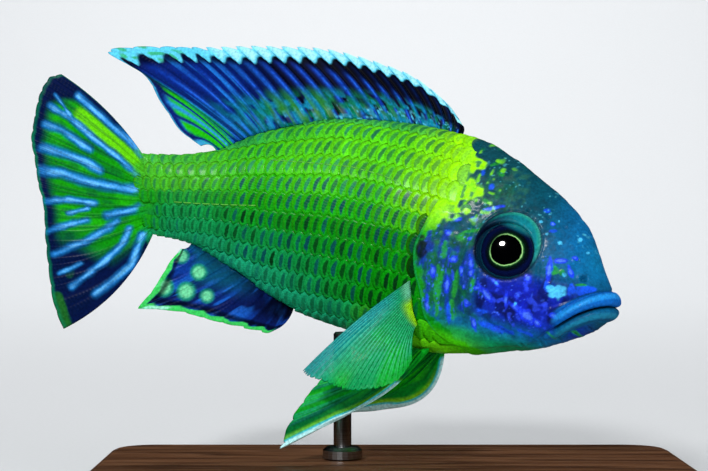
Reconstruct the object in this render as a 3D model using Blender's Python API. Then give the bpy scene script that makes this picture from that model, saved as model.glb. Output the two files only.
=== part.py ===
"""Peacock cichlid as a still, life-size display model on a plain stand.

Sizes are in millimetres in a straight fish frame: u runs from the tip of the snout towards
the tail, v out to the fish's right side and w up towards the back. Every solid is built in
that frame, then each of its points goes through pose(), which bends the body sideways,
tips the head down and sets the fish above its stand. World units are metres, +Z is up.
"""

import math

import bmesh
import bpy
import numpy as np

MM = 0.001

# Body
STANDARD_LENGTH = 105.0
GAP = 0.3
UPPER_ROUNDNESS = 1.9
LOWER_ROUNDNESS = 2.15
# one row per station: u, back, belly, half width, level of the widest line
STATIONS = (
    (-0.1, -0.3, -1.7, 1.8, -1.0),
    (0.7, 0.9, -3.2, 3.2, -1.2),
    (2.1, 2.9, -5.2, 4.4, -1.5),
    (4.0, 5.7, -7.0, 5.2, -1.7),
    (9.0, 13.3, -10.1, 6.7, -1.6),
    (14.0, 17.3, -12.6, 7.7, -1.2),
    (20.0, 20.6, -14.7, 8.7, -0.8),
    (28.0, 24.4, -17.1, 9.8, -0.2),
    (38.0, 27.3, -18.9, 10.5, 1.0),
    (48.0, 27.5, -18.8, 10.5, 2.0),
    (58.0, 26.8, -18.1, 9.9, 2.6),
    (68.0, 25.2, -16.9, 8.8, 3.0),
    (76.0, 22.6, -14.3, 7.4, 3.2),
    (84.0, 18.8, -11.1, 5.9, 3.0),
    (93.0, 13.0, -8.3, 4.3, 2.2),
    (99.0, 10.3, -7.8, 3.4, 1.2),
    (110.0, 8.2, -8.2, 2.4, 0.2),
)
# rear edge of the head, by angle round the section from the back (0) to the belly (180)
GILL_EDGE = ((0, 36.0), (40, 37.0), (60, 38.4), (76, 40.2), (88, 41.3), (98, 40.4), (110, 38.2),
             (126, 36.4), (136, 34.2), (145, 31.6), (155, 29.0), (180, 27.0))
CHEEK_EDGE = ((0, 31.0), (60, 31.0), (80, 30.6), (95, 28.8), (110, 26.6), (130, 23.0), (150, 18.5),
              (180, 16.0))
GILL_FLAP_ANGLES = (68.0, 156.0)
GILL_FLAP_RECESS = 1.35
GILL_FLAP_SWELL = 0.35
TAIL_CUT = 94.5
TAIL_END = 104.3
TAIL_END_SLANT = 0.34

# Mouth, eyes and nostrils
MOUTH_CORNER = 9.8
LIP_UPPER = (1.75, 1.2)
LIP_LOWER = (1.15, 0.95)
LIP_REACH = 0.9
LIP_SWELL = 1.3
EYE_CENTRE = (22.5, 6.6, 5.3)
EYE_SEMI_AXES = (7.0, 3.3, 6.7)
EYE_SLOPE = (0.155, -0.13)
LID_WIDTH = 0.8
LID_BROW = 0.3
LID_OVERLAP = 1.45
NOSTRIL = (6.4, 4.4, 0.9)

# Fins: rows of (share of the fin from front to rear, u, w) for the tips of the rays
FIN_ROWS = (0.0, 0.07, 0.22, 0.42, 0.62, 0.82, 1.0)
WEB_HALF = 0.26
RAY_HALF = 0.48
DORSAL_RAYS = 25
DORSAL_SPINES = 16
DORSAL_ROOTS = ((0.0, 40.4), (0.17, 47.2), (0.33, 56.5), (0.5, 70.0), (0.64, 80.0), (1.0, 92.6))
DORSAL_TIPS = ((0.0, 41.9, 29.4), (0.04, 45.4, 33.0), (0.17, 57.4, 38.0), (0.33, 72.4, 39.4),
               (0.5, 87.7, 37.2), (0.64, 99.6, 34.3), (0.76, 110.5, 32.2), (0.84, 120.9, 28.8),
               (0.89, 112.0, 25.6), (0.93, 107.0, 20.6), (0.97, 101.0, 15.2), (1.0, 96.2, 13.1))
CAUDAL_RAYS = 17
CAUDAL_TIPS = ((0.0, 129.4, 21.8), (0.06, 131.8, 20.4), (0.2, 133.0, 15.2), (0.34, 132.9, 7.8),
               (0.46, 131.0, 2.5), (0.56, 129.0, -2.4), (0.65, 126.9, -6.6), (0.77, 124.9, -13.7),
               (0.89, 122.2, -21.8), (0.97, 119.2, -28.6), (1.0, 116.6, -32.0))
ANAL_RAYS = 11
ANAL_SPINES = 3
ANAL_ROOTS = ((0.0, 68.6), (0.3, 75.0), (1.0, 93.6))
ANAL_TIPS = ((0.0, 70.6, -21.2), (0.1, 73.4, -23.0), (0.3, 82.5, -23.1), (0.5, 92.0, -22.8),
             (0.68, 102.2, -24.3), (0.8, 99.4, -18.9), (0.9, 97.2, -12.6), (1.0, 95.6, -9.4))
PELVIC_RAYS = 6
PELVIC_ROOTS = (35.4, 39.6)
PELVIC_SIDE = 4.4
# share, u, w, v at the tips of the right and the left pelvic fin
PELVIC_RIGHT = ((0.0, 51.5, -36.4, 8.5), (0.2, 62.8, -45.1, 8.0), (0.4, 61.8, -39.6, 7.6),
                (0.6, 60.2, -34.6, 6.8), (0.8, 57.6, -29.6, 5.8), (1.0, 52.8, -24.8, 4.8))
PELVIC_LEFT = ((0.0, 46.0, -32.4, 8.4), (0.2, 59.5, -38.0, 7.6), (0.4, 58.0, -34.0, 7.2),
               (0.6, 55.8, -30.6, 6.6), (0.8, 52.8, -27.2, 5.8), (1.0, 48.6, -23.6, 4.8))
PELVIC_BOW = {"right": 2.4, "left": 4.2}
PECTORAL_RAYS = 13
PECTORAL_ROOT = ((40.6, -4.8), (38.2, -13.2))
PECTORAL_RIGHT = ((0.0, 58.6, -27.6, 16.0), (0.14, 56.8, -28.6, 16.6), (0.3, 51.6, -28.9, 17.2),
                  (0.5, 46.4, -29.2, 17.4), (0.7, 40.8, -27.8, 16.8), (0.86, 36.4, -24.8, 15.6),
                  (1.0, 34.4, -20.4, 14.0))
PECTORAL_LEFT = ((0.0, 61.0, -20.6, 15.6), (0.14, 59.4, -22.4, 16.4), (0.3, 54.6, -24.4, 17.0),
                 (0.5, 49.2, -25.6, 17.2), (0.7, 43.6, -25.4, 16.6), (0.86, 38.8, -23.0, 15.2),
                 (1.0, 36.2, -19.4, 13.6))

# Pose
HEAD_YAW = math.radians(25.0)
TAIL_YAW = math.radians(2.0)
BEND_FROM = 30.0
HEAD_DOWN = math.radians(12.7)
POSE_CENTRE = 50.0
BODY_HEIGHT = 52.0

# Stand
BASE_LENGTH = 124.0
BASE_WIDTH = 60.0
BASE_HEIGHT = 8.0
BASE_CORNER = 9.0
BASE_EDGE = 1.2
ROD_RADIUS = 1.9
ROD_AT = 57.0
COLLAR_RADIUS = 4.2
COLLAR_HEIGHT = 2.4


def curve(rows, x, column=1):
    """Read a smooth curve, with no overshoot, through the first column and one other column."""
    xs = [row[0] for row in rows]
    ys = [row[column] for row in rows]
    slopes = [(ys[i + 1] - ys[i]) / (xs[i + 1] - xs[i]) for i in range(len(xs) - 1)]
    tangents = [slopes[0]]
    for before, after in zip(slopes, slopes[1:]):
        same_way = before * after > 0.0
        tangents.append(2.0 * before * after / (before + after) if same_way else 0.0)
    tangents.append(slopes[-1])
    i = int(np.clip(np.searchsorted(xs, x) - 1, 0, len(slopes) - 1))
    width = xs[i + 1] - xs[i]
    t = min(max((x - xs[i]) / width, 0.0), 1.0)
    return (
        ys[i] * (1 + 2 * t) * (1 - t) ** 2
        + tangents[i] * width * t * (1 - t) ** 2
        + ys[i + 1] * t * t * (3 - 2 * t)
        + tangents[i + 1] * width * t * t * (t - 1)
    )


def station(u):
    """Back, belly, half width and widest level of the body at one distance from the snout."""
    return [curve(STATIONS, u, column) for column in (1, 2, 3, 4)]


def body_point(u, angle, lift=0.0):
    """Point on the body's skin, the angle in degrees round from the back over the right side."""
    back, belly, half, level = station(u)
    side = math.sin(math.radians(angle))
    rise = math.cos(math.radians(angle))
    power = 2.0 / (UPPER_ROUNDNESS if rise >= 0.0 else LOWER_ROUNDNESS)
    reach = back - level if rise >= 0.0 else level - belly
    v = math.copysign(half * abs(side) ** power, side)
    w = math.copysign(reach * abs(rise) ** power, rise)
    stretch = 1.0 + lift / max(math.hypot(v, w), 0.1)
    return (u, v * stretch, level + w * stretch)


def side_width(u, w):
    """Half width of the body at one distance from the snout and one level."""
    back, belly, half, level = station(u)
    power = UPPER_ROUNDNESS if w >= level else LOWER_ROUNDNESS
    reach = back - level if w >= level else level - belly
    share = min(abs(w - level) / reach, 1.0)
    return half * (1.0 - share**power) ** (1.0 / power)


def belly_level(u, v):
    """Level of the underside at one distance from the snout and one side offset."""
    _, belly, half, level = station(u)
    share = min(abs(v) / half, 1.0)
    return level - (level - belly) * (1.0 - share**LOWER_ROUNDNESS) ** (1.0 / LOWER_ROUNDNESS)


def mouth_level(u):
    """Level of the line of the mouth at one distance from the snout."""
    reach = max(u, 0.0)
    return -1.0 - 0.32 * reach - 0.038 * reach**2


def spine_path():
    """Heading and plan position of the bent midline at every half millimetre."""
    steps = np.arange(-20.0, 160.01, 0.5)
    share = np.clip((steps - BEND_FROM) / (STANDARD_LENGTH - BEND_FROM), 0.0, 1.0)
    yaw = HEAD_YAW + (TAIL_YAW - HEAD_YAW) * share**2 * (3.0 - 2.0 * share)
    middle = 0.5 * (yaw[1:] + yaw[:-1])
    x = np.concatenate([[0.0], np.cumsum(-0.5 * np.cos(middle))])
    y = np.concatenate([[0.0], np.cumsum(0.5 * np.sin(middle))])
    x -= np.interp(POSE_CENTRE, steps, x)
    y -= np.interp(POSE_CENTRE, steps, y)
    return steps, yaw, x, y


SPINE = spine_path()


def pose(u, v, w):
    """Carry a point of the straight fish to its place in the finished pose, in metres."""
    steps, yaws, xs, ys = SPINE
    yaw = float(np.interp(u, steps, yaws))
    x = float(np.interp(u, steps, xs)) - v * math.sin(yaw)
    y = float(np.interp(u, steps, ys)) - v * math.cos(yaw)
    forward = x * math.cos(HEAD_DOWN) + w * math.sin(HEAD_DOWN)
    up = -x * math.sin(HEAD_DOWN) + w * math.cos(HEAD_DOWN)
    return (forward * MM, y * MM, (up + BODY_HEIGHT) * MM)


def material(name, colour, roughness, metallic=0.0):
    """Make one plain material."""
    made = bpy.data.materials.new(name)
    made.use_nodes = True
    shader = made.node_tree.nodes["Principled BSDF"]
    shader.inputs["Base Color"].default_value = (*colour, 1.0)
    shader.inputs["Roughness"].default_value = roughness
    shader.inputs["Metallic"].default_value = metallic
    return made


def add_object(name, mesh_data, finish):
    """Put a bmesh in the scene as a smooth-shaded object with one material."""
    bmesh.ops.triangulate(mesh_data, faces=mesh_data.faces[:])
    bmesh.ops.recalc_face_normals(mesh_data, faces=mesh_data.faces[:])
    mesh = bpy.data.meshes.new(name)
    mesh_data.to_mesh(mesh)
    mesh_data.free()
    mesh.materials.append(finish)
    for polygon in mesh.polygons:
        polygon.use_smooth = True
    made = bpy.data.objects.new(name, mesh)
    bpy.context.scene.collection.objects.link(made)
    return made


def loft(rings):
    """Join closed rings of points into one closed body with a fan over each end."""
    mesh = bmesh.new()
    made = [[mesh.verts.new(point) for point in ring] for ring in rings]
    count = len(rings[0])
    for first, second in zip(made, made[1:]):
        for i in range(count):
            j = (i + 1) % count
            mesh.faces.new((first[i], first[j], second[j], second[i]))
    for ring, points in ((made[0], rings[0]), (made[-1], rings[-1])):
        middle = mesh.verts.new(tuple(np.mean(points, axis=0)))
        for i in range(count):
            mesh.faces.new((ring[i], ring[(i + 1) % count], middle))
    return mesh


def sheet(front, back):
    """Close two matching grids of points into one thin body, split alike on both faces."""
    mesh = bmesh.new()
    front = [[mesh.verts.new(point) for point in row] for row in front]
    back = [[mesh.verts.new(point) for point in row] for row in back]
    rows = len(front)
    columns = len(front[0])
    for r in range(rows - 1):
        for c in range(columns - 1):
            for grid in (front, back):
                corners = (grid[r][c], grid[r][c + 1], grid[r + 1][c + 1], grid[r + 1][c])
                mesh.faces.new(corners[:3])
                mesh.faces.new((corners[0], corners[2], corners[3]))
    rim = [(0, c) for c in range(columns)]
    rim += [(r, columns - 1) for r in range(1, rows)]
    rim += [(rows - 1, c) for c in range(columns - 2, -1, -1)]
    rim += [(r, 0) for r in range(rows - 2, 0, -1)]
    for (r, c), (s, d) in zip(rim, rim[1:] + rim[:1]):
        mesh.faces.new((front[r][c], front[s][d], back[s][d], back[r][c]))
    return mesh


def ellipsoid(centre, semi_axes, slope=(0.0, 0.0), segments=18, rings=12):
    """Closed ellipsoid with its poles on the v axis, slanted outwards along u and w."""
    mesh = bmesh.new()
    bmesh.ops.create_uvsphere(mesh, u_segments=segments, v_segments=rings, radius=1.0)
    for vertex in mesh.verts:
        x, y, z = vertex.co
        along = semi_axes[0] * x
        upward = semi_axes[2] * y
        outward = semi_axes[1] * z + slope[0] * along + slope[1] * upward
        vertex.co = (centre[0] + along, centre[1] + outward, centre[2] + upward)
    return mesh


def tube(path, radii, sides=10):
    """Closed tube of upright oval section along a path in the mouth's plan."""
    rings = []
    for i, point in enumerate(path):
        ahead = np.subtract(path[min(i + 1, len(path) - 1)], path[max(i - 1, 0)])
        out = np.array((ahead[1], -ahead[0], 0.0))
        out /= np.linalg.norm(out)
        rings.append([
            tuple(
                np.array(point)
                + out * radii[i][0] * math.cos(2 * math.pi * k / sides)
                + np.array((0.0, 0.0, 1.0)) * radii[i][1] * math.sin(2 * math.pi * k / sides)
            )
            for k in range(sides)
        ])
    return loft(rings)


def combine(target, tool_mesh, operation, solver="EXACT"):
    """Join, cut or keep the common part of an object and a mesh, and drop the tool."""
    tool = add_object("tool", tool_mesh, target.data.materials[0])
    step = target.modifiers.new("combine", "BOOLEAN")
    step.operation = operation
    step.solver = solver
    step.object = tool
    bpy.context.view_layer.update()
    evaluated = target.evaluated_get(bpy.context.evaluated_depsgraph_get())
    mesh = bmesh.new()
    mesh.from_mesh(evaluated.data)
    target.modifiers.clear()
    bmesh.ops.remove_doubles(mesh, verts=mesh.verts[:], dist=0.0001)
    bmesh.ops.triangulate(mesh, faces=mesh.faces[:])
    mesh.to_mesh(target.data)
    mesh.free()
    bpy.data.objects.remove(tool)


def set_in_pose(made):
    """Move every point of a straight solid to its place in the finished pose."""
    for vertex in made.data.vertices:
        vertex.co = pose(*vertex.co)
    mesh = bmesh.new()
    mesh.from_mesh(made.data)
    bmesh.ops.recalc_face_normals(mesh, faces=mesh.faces[:])
    mesh.to_mesh(made.data)
    mesh.free()


def ring_angles(side_steps):
    """Angles of one body ring, close together beside both edges of the gill flap."""
    low, high = GILL_FLAP_ANGLES
    half = list(np.linspace(0.0, low, side_steps[0] + 1))
    half += list(np.linspace(low + 2.0, high - 2.0, side_steps[1] + 1))
    half += list(np.linspace(high, 180.0, side_steps[2] + 1))
    return half + [360.0 - angle for angle in reversed(half[1:-1])]


def torso_rings(first, last, count, angles):
    """Rings between two edges, each edge a function of the angle round the section."""
    rings = []
    for share in np.linspace(0.0, 1.0, count):
        rings.append([
            body_point(first(a) + (last(a) - first(a)) * share, a) for a in angles
        ])
    return rings


def folded(angle):
    """Angle from the back, the same on both sides."""
    return angle if angle <= 180.0 else 360.0 - angle


def gill_edge(angle):
    return curve(GILL_EDGE, folded(angle))


def cheek_edge(angle):
    return curve(CHEEK_EDGE, folded(angle))


def tail_end(angle):
    """Slanted end of the tail's flesh, where the rays of the tail fin begin."""
    _, _, w = body_point(TAIL_END, angle)
    return TAIL_END + TAIL_END_SLANT * w


def head_rings():
    """Rings of the head, sunk on both sides where the gill flaps lie."""
    low, high = GILL_FLAP_ANGLES
    angles = ring_angles((6, 7, 2))
    front = (-0.1, 0.2, 0.7, 1.4, 2.5, 4.0, 6.0, 8.2, 10.6, 13.4, 16.6, 20.0)
    rings = []
    for u in front:
        blend = (u - front[0]) / (front[-1] - front[0])
        rings.append([
            body_point(u + (min(cheek_edge(a) - 1.5, 20.0) - 20.0) * blend**3, a) for a in angles
        ])
    for share in (0.5, 1.0):
        rings.append([
            body_point(
                min(cheek_edge(a) - 1.5, 20.0) * (1 - share) + cheek_edge(a) * share, a
            )
            for a in angles
        ])
    for share in (0.05, 0.22, 0.4, 0.6, 0.8, 1.0):
        ring = []
        for a in angles:
            sunk = low < folded(a) < high
            lift = -GILL_FLAP_RECESS if sunk else 0.0
            u = cheek_edge(a) + (gill_edge(a) - cheek_edge(a)) * share
            ring.append(body_point(u - 0.9 * sunk * share, a, lift))
        rings.append(ring)
    return rings


def gill_flap(side):
    """Gill cover: a thin curved plate that lies in the hollow on one side of the head."""
    low, high = GILL_FLAP_ANGLES
    shares = (0.065, 0.22, 0.4, 0.6, 0.8, 0.92, 1.0)
    angles = np.linspace(low + 2.4, high - 2.4, 11)
    outer = []
    inner = []
    for share in shares:
        outer_row = []
        inner_row = []
        for i, a in enumerate(angles):
            u = cheek_edge(a) + (gill_edge(a) - cheek_edge(a)) * share
            edge = min(i, len(angles) - 1 - i, 2) / 2.0
            swell = GILL_FLAP_SWELL * edge * min(1.0, 2.0 * share)
            point = body_point(u, a, swell)
            outer_row.append((point[0], side * point[1], point[2]))
            point = body_point(u - 0.75 * share, a, -GILL_FLAP_RECESS + GAP + 0.05)
            inner_row.append((point[0], side * point[1], point[2]))
        outer.append(outer_row)
        inner.append(inner_row)
    return sheet(outer, inner)


def mouth_path(inset, rise, radii):
    """Path of one lip from corner to corner round the front of the mouth."""
    path = []
    sizes = []
    for share in np.linspace(-1.0, 1.0, 17):
        u = LIP_REACH + (MOUTH_CORNER - LIP_REACH) * abs(share) ** 1.8
        w = mouth_level(u)
        v = math.copysign(max(side_width(u, w) - inset, 0.0), share) if share else 0.0
        tall = radii[0] + (radii[1] - radii[0]) * abs(share) ** 0.7
        lean = 0.3 * tall * (1.0 - abs(share)) if rise > 0.0 else 0.0
        path.append((u + lean, v, w + rise * (tall + 0.2)))
        sizes.append((min(tall, LIP_SWELL), tall))
    return path, sizes


def jaw_cutter(offset):
    """Prism below the line of the mouth, closed by a slope under the cheek."""
    outline = [(-8.0, mouth_level(0.0) + offset)]
    outline += [(u, mouth_level(u) + offset) for u in np.linspace(0.0, MOUTH_CORNER, 9)]
    outline += [(15.0 + offset, -14.0), (15.0 + offset, -24.0), (-8.0, -24.0)]
    mesh = bmesh.new()
    right = [mesh.verts.new((u, 14.0, w)) for u, w in outline]
    left = [mesh.verts.new((u, -14.0, w)) for u, w in outline]
    mesh.faces.new(right)
    mesh.faces.new(left)
    for i in range(len(outline)):
        j = (i + 1) % len(outline)
        mesh.faces.new((right[i], right[j], left[j], left[i]))
    return mesh


def eye_ball(side, grow, segments):
    """One eye, or with some growth the hollow that it sits in."""
    centre = (EYE_CENTRE[0], side * EYE_CENTRE[1], EYE_CENTRE[2])
    semi_axes = [axis + grow for axis in EYE_SEMI_AXES]
    slope = [side * amount for amount in EYE_SLOPE]
    return ellipsoid(centre, semi_axes, slope, segments)


def lid_ring(side):
    """Soft rim of skin round one eye."""
    u0, v0, w0 = EYE_CENTRE
    mesh = bmesh.new()
    around = 20
    across = 7
    rings = []
    for i in range(around):
        turn = 2 * math.pi * i / around
        out = np.array((math.cos(turn), 0.0, math.sin(turn)))
        width = LID_WIDTH + LID_BROW * max(math.sin(turn), 0.0)
        u = u0 + (EYE_SEMI_AXES[0] - LID_OVERLAP + width) * out[0]
        w = w0 + (EYE_SEMI_AXES[2] - LID_OVERLAP + width) * out[2]
        v = side_width(u, w) - 0.1
        ring = []
        for k in range(across):
            roll = 2 * math.pi * k / across
            point = np.array((u, v, w)) + width * math.cos(roll) * out
            point[1] += 0.9 * width * math.sin(roll)
            ring.append(mesh.verts.new((point[0], side * point[1], point[2])))
        rings.append(ring)
    for i in range(around):
        first = rings[i]
        second = rings[(i + 1) % around]
        for k in range(across):
            m = (k + 1) % across
            mesh.faces.new((first[k], first[m], second[m], second[k]))
    return mesh


def fin(root_points, tip_points, bows, rays, halves, notch):
    """One fin as a closed sheet whose rays are ridges in its own surface.

    root_points and tip_points give the middle surface at a share from 0 to 1 across the fin,
    bows the sideways curve of a ray there, halves the half thickness of (ray, web) down the
    rows, and notch how far the web's edge stays short of the rays' tips.
    """
    columns = 2 * rays + 1
    grid = np.zeros((len(FIN_ROWS), columns, 3))
    for c in range(columns):
        share = c / (columns - 1)
        root = np.array(root_points(share))
        tip = np.array(tip_points(share))
        if c % 2 == 0:
            tip = tip + (root - tip) * notch(share)
        chord = tip - root
        across = np.array((-chord[2], 0.0, chord[0])) / np.linalg.norm(chord)
        for r, t in enumerate(FIN_ROWS):
            bow = bows(share) * 4.0 * t * (1.0 - t)
            grid[r, c] = root + chord * t + across * bow
    down = np.gradient(grid, axis=0)
    over = np.gradient(grid, axis=1)
    normals = np.cross(over, down)
    normals /= np.linalg.norm(normals, axis=2, keepdims=True)
    front = []
    back = []
    for r, t in enumerate(FIN_ROWS):
        front.append([])
        back.append([])
        for c in range(columns):
            half = curve(halves[0 if c % 2 else 1], t)
            front[-1].append(tuple(grid[r, c] + normals[r, c] * half))
            back[-1].append(tuple(grid[r, c] - normals[r, c] * half))
    return sheet(front, back)


def half_thickness(root):
    """Half thickness of rays and web from root to tip, for one thickness at the root."""
    ray = ((0.0, root), (0.07, root * 0.9), (0.25, RAY_HALF + 0.08), (0.6, RAY_HALF), (1.0, 0.24))
    web = ((0.0, root), (0.07, root * 0.8), (0.25, WEB_HALF + 0.06), (0.6, WEB_HALF), (1.0, 0.2))
    return ray, web


def dorsal_fin():
    def root(share):
        u = curve(DORSAL_ROOTS, share)
        return (u, 0.0, station(u)[0] + GAP + 0.05)

    def tip(share):
        return (curve(DORSAL_TIPS, share), 0.0, curve(DORSAL_TIPS, share, 2))

    def notch(share):
        spiny = share < DORSAL_SPINES / DORSAL_RAYS
        return 0.13 if spiny else 0.03

    return fin(root, tip, lambda share: 0.9, DORSAL_RAYS, half_thickness(0.75), notch)


def caudal_fin():
    def root(share):
        w = 8.0 - 15.6 * share
        return (TAIL_END + TAIL_END_SLANT * w + GAP + 0.1, 0.0, w)

    def tip(share):
        return (curve(CAUDAL_TIPS, share), 0.0, curve(CAUDAL_TIPS, share, 2))

    def bow(share):
        return 1.4 - 4.0 * share

    return fin(root, tip, bow, CAUDAL_RAYS, half_thickness(1.7), lambda share: 0.02)


def anal_fin():
    def root(share):
        u = curve(ANAL_ROOTS, share)
        return (u, 0.0, station(u)[1] - GAP - 0.05)

    def tip(share):
        return (curve(ANAL_TIPS, share), 0.0, curve(ANAL_TIPS, share, 2))

    def notch(share):
        return 0.12 if share < ANAL_SPINES / ANAL_RAYS else 0.03

    return fin(root, tip, lambda share: -0.5, ANAL_RAYS, half_thickness(0.75), notch)


def pelvic_fin(side, tips, bow_size):
    def root(share):
        u = PELVIC_ROOTS[0] + (PELVIC_ROOTS[1] - PELVIC_ROOTS[0]) * share
        v = PELVIC_SIDE - 1.2 * share
        return (u, side * v, belly_level(u, v) - GAP - 0.2)

    def tip(share):
        return (curve(tips, share), side * curve(tips, share, 3), curve(tips, share, 2))

    def bow(share):
        return -bow_size * (1.0 - share)

    return fin(root, tip, bow, PELVIC_RAYS, half_thickness(0.75), lambda share: 0.04)


def pectoral_fin(side, tips):
    def root(share):
        u = PECTORAL_ROOT[0][0] + (PECTORAL_ROOT[1][0] - PECTORAL_ROOT[0][0]) * share
        w = PECTORAL_ROOT[0][1] + (PECTORAL_ROOT[1][1] - PECTORAL_ROOT[0][1]) * share
        return (u, side * (side_width(u, w) + GAP + 0.35), w)

    def tip(share):
        return (curve(tips, share), side * curve(tips, share, 3), curve(tips, share, 2))

    return fin(root, tip, lambda share: 0.6, PECTORAL_RAYS, half_thickness(0.6), lambda share: 0.03)


def stand_base(finish):
    """Flat board with rounded corners and softened edges, its underside on the floor."""
    mesh = bmesh.new()
    bmesh.ops.create_cube(mesh, size=1.0)
    for vertex in mesh.verts:
        vertex.co.x *= BASE_LENGTH * MM
        vertex.co.y *= BASE_WIDTH * MM
        vertex.co.z = (vertex.co.z + 0.5) * BASE_HEIGHT * MM
    upright = [e for e in mesh.edges if abs(e.verts[0].co.z - e.verts[1].co.z) > 0.5 * BASE_HEIGHT * MM]
    bmesh.ops.bevel(mesh, geom=upright, offset=BASE_CORNER * MM, segments=6, affect="EDGES",
                    profile=0.5, material=-1)
    top = [e for e in mesh.edges if all(v.co.z > 0.99 * BASE_HEIGHT * MM for v in e.verts)]
    bmesh.ops.bevel(mesh, geom=top, offset=BASE_EDGE * MM, segments=2, affect="EDGES",
                    profile=0.5, material=-1)
    made = add_object("stand_base", mesh, finish)
    for polygon in made.data.polygons:
        polygon.use_smooth = False
    return made


def stand_rod(finish):
    """Upright rod with a collar at its foot, turned as one piece."""
    x, y, top = pose(ROD_AT, 0.0, station(ROD_AT)[1] - GAP)
    foot = (BASE_HEIGHT + GAP) * MM
    top -= ROD_RADIUS * MM * math.tan(HEAD_DOWN)
    outline = (
        (COLLAR_RADIUS * MM, foot),
        (COLLAR_RADIUS * MM, foot + 0.7 * COLLAR_HEIGHT * MM),
        (0.8 * COLLAR_RADIUS * MM, foot + COLLAR_HEIGHT * MM),
        (ROD_RADIUS * MM, foot + COLLAR_HEIGHT * MM),
        (ROD_RADIUS * MM, top - 0.4 * MM),
        (ROD_RADIUS * MM - 0.4 * MM, top),
    )
    sides = 24
    rings = []
    for radius, z in outline:
        rings.append([
            (
                x + radius * math.cos(2 * math.pi * k / sides),
                y + radius * math.sin(2 * math.pi * k / sides),
                z,
            )
            for k in range(sides)
        ])
    return add_object("stand_rod", loft(rings), finish)


def build_head(finish):
    """Head with mouth, upper lip, eyelids, eye sockets, nostrils and hollows for the gill flaps."""
    head = add_object("head", loft(head_rings()), finish)
    combine(head, jaw_cutter(GAP / 2), "DIFFERENCE")
    path, sizes = mouth_path(0.4, 1.0, LIP_UPPER)
    combine(head, tube(path, sizes), "UNION")
    for side in (1.0, -1.0):
        combine(head, lid_ring(side), "UNION")
    for side in (1.0, -1.0):
        combine(head, eye_ball(side, GAP, 20), "DIFFERENCE")
        u, w, radius = NOSTRIL
        pit = (u, side * (side_width(u, w) + 0.1), w)
        combine(head, ellipsoid(pit, (radius, radius, radius), segments=8, rings=6), "DIFFERENCE")
    return head


def build_jaw(finish):
    """Lower jaw below the line of the mouth, with its lip."""
    angles = ring_angles((6, 7, 2))
    stations = (-0.1, 0.2, 0.7, 1.4, 2.5, 4.0, 6.0, 8.2, 10.6, 13.4, 16.6)
    jaw = add_object("lower_jaw", loft([[body_point(u, a) for a in angles] for u in stations]), finish)
    combine(jaw, jaw_cutter(-GAP / 2), "INTERSECT")
    path, sizes = mouth_path(0.45, -1.0, LIP_LOWER)
    combine(jaw, tube(path, sizes), "UNION")
    return jaw


def main():
    for old in list(bpy.data.objects):
        bpy.data.objects.remove(old)
    flesh = material("flank_skin", (0.12, 0.55, 0.03), 0.45)
    face = material("face_skin", (0.01, 0.14, 0.42), 0.4)
    web = material("fin_blue", (0.02, 0.12, 0.5), 0.4)
    green_web = material("fin_green", (0.03, 0.42, 0.08), 0.4)
    iris = material("eye", (0.01, 0.02, 0.05), 0.1)
    board = material("stand_wood", (0.09, 0.045, 0.02), 0.5)
    steel = material("stand_steel", (0.55, 0.56, 0.57), 0.3, 1.0)

    angles = ring_angles((6, 7, 2))
    made = [build_head(face), build_jaw(face)]
    for name, side in (("gill_cover_right", 1.0), ("gill_cover_left", -1.0)):
        made.append(add_object(name, gill_flap(side), face))
    made.append(add_object("torso", loft(torso_rings(
        lambda a: gill_edge(a) + GAP, lambda a: TAIL_CUT, 19, angles)), flesh))
    made.append(add_object("tail", loft(torso_rings(
        lambda a: TAIL_CUT + GAP, tail_end, 5, angles)), flesh))
    for name, side in (("eye_right", 1.0), ("eye_left", -1.0)):
        made.append(add_object(name, eye_ball(side, 0.0, 18), iris))
    made.append(add_object("dorsal_fin", dorsal_fin(), web))
    made.append(add_object("tail_fin", caudal_fin(), green_web))
    made.append(add_object("anal_fin", anal_fin(), web))
    made.append(add_object(
        "pelvic_fin_right", pelvic_fin(1.0, PELVIC_RIGHT, PELVIC_BOW["right"]), green_web))
    made.append(add_object(
        "pelvic_fin_left", pelvic_fin(-1.0, PELVIC_LEFT, PELVIC_BOW["left"]), green_web))
    made.append(add_object("pectoral_fin_right", pectoral_fin(1.0, PECTORAL_RIGHT), green_web))
    made.append(add_object("pectoral_fin_left", pectoral_fin(-1.0, PECTORAL_LEFT), green_web))
    for solid in made:
        set_in_pose(solid)
    stand_base(board)
    stand_rod(steel)


main()
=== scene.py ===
"""Looks of a life-size display model of a male peacock cichlid on a plain stand.

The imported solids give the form. One skin stands for head, jaw, gill covers, torso and tail,
with lips, lids, nostrils, pores and folds in it, and a coat of scales lies over the skin.
Sizes are millimetres in a straight fish frame, as in the part's source: u runs from the
snout towards the tail, v out to the fish's right side and w up towards the back. Every
mesh is shaped in that frame and then carried into the pose, where units are metres.
"""

import logging
import math
from collections.abc import Callable
from dataclasses import dataclass
from enum import Enum
from functools import cache, partial
from typing import NamedTuple

import bmesh
import bpy
import numpy as np
from bpy.types import Material, Mesh, Node, NodeSocket, Object
from mathutils import Matrix


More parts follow.
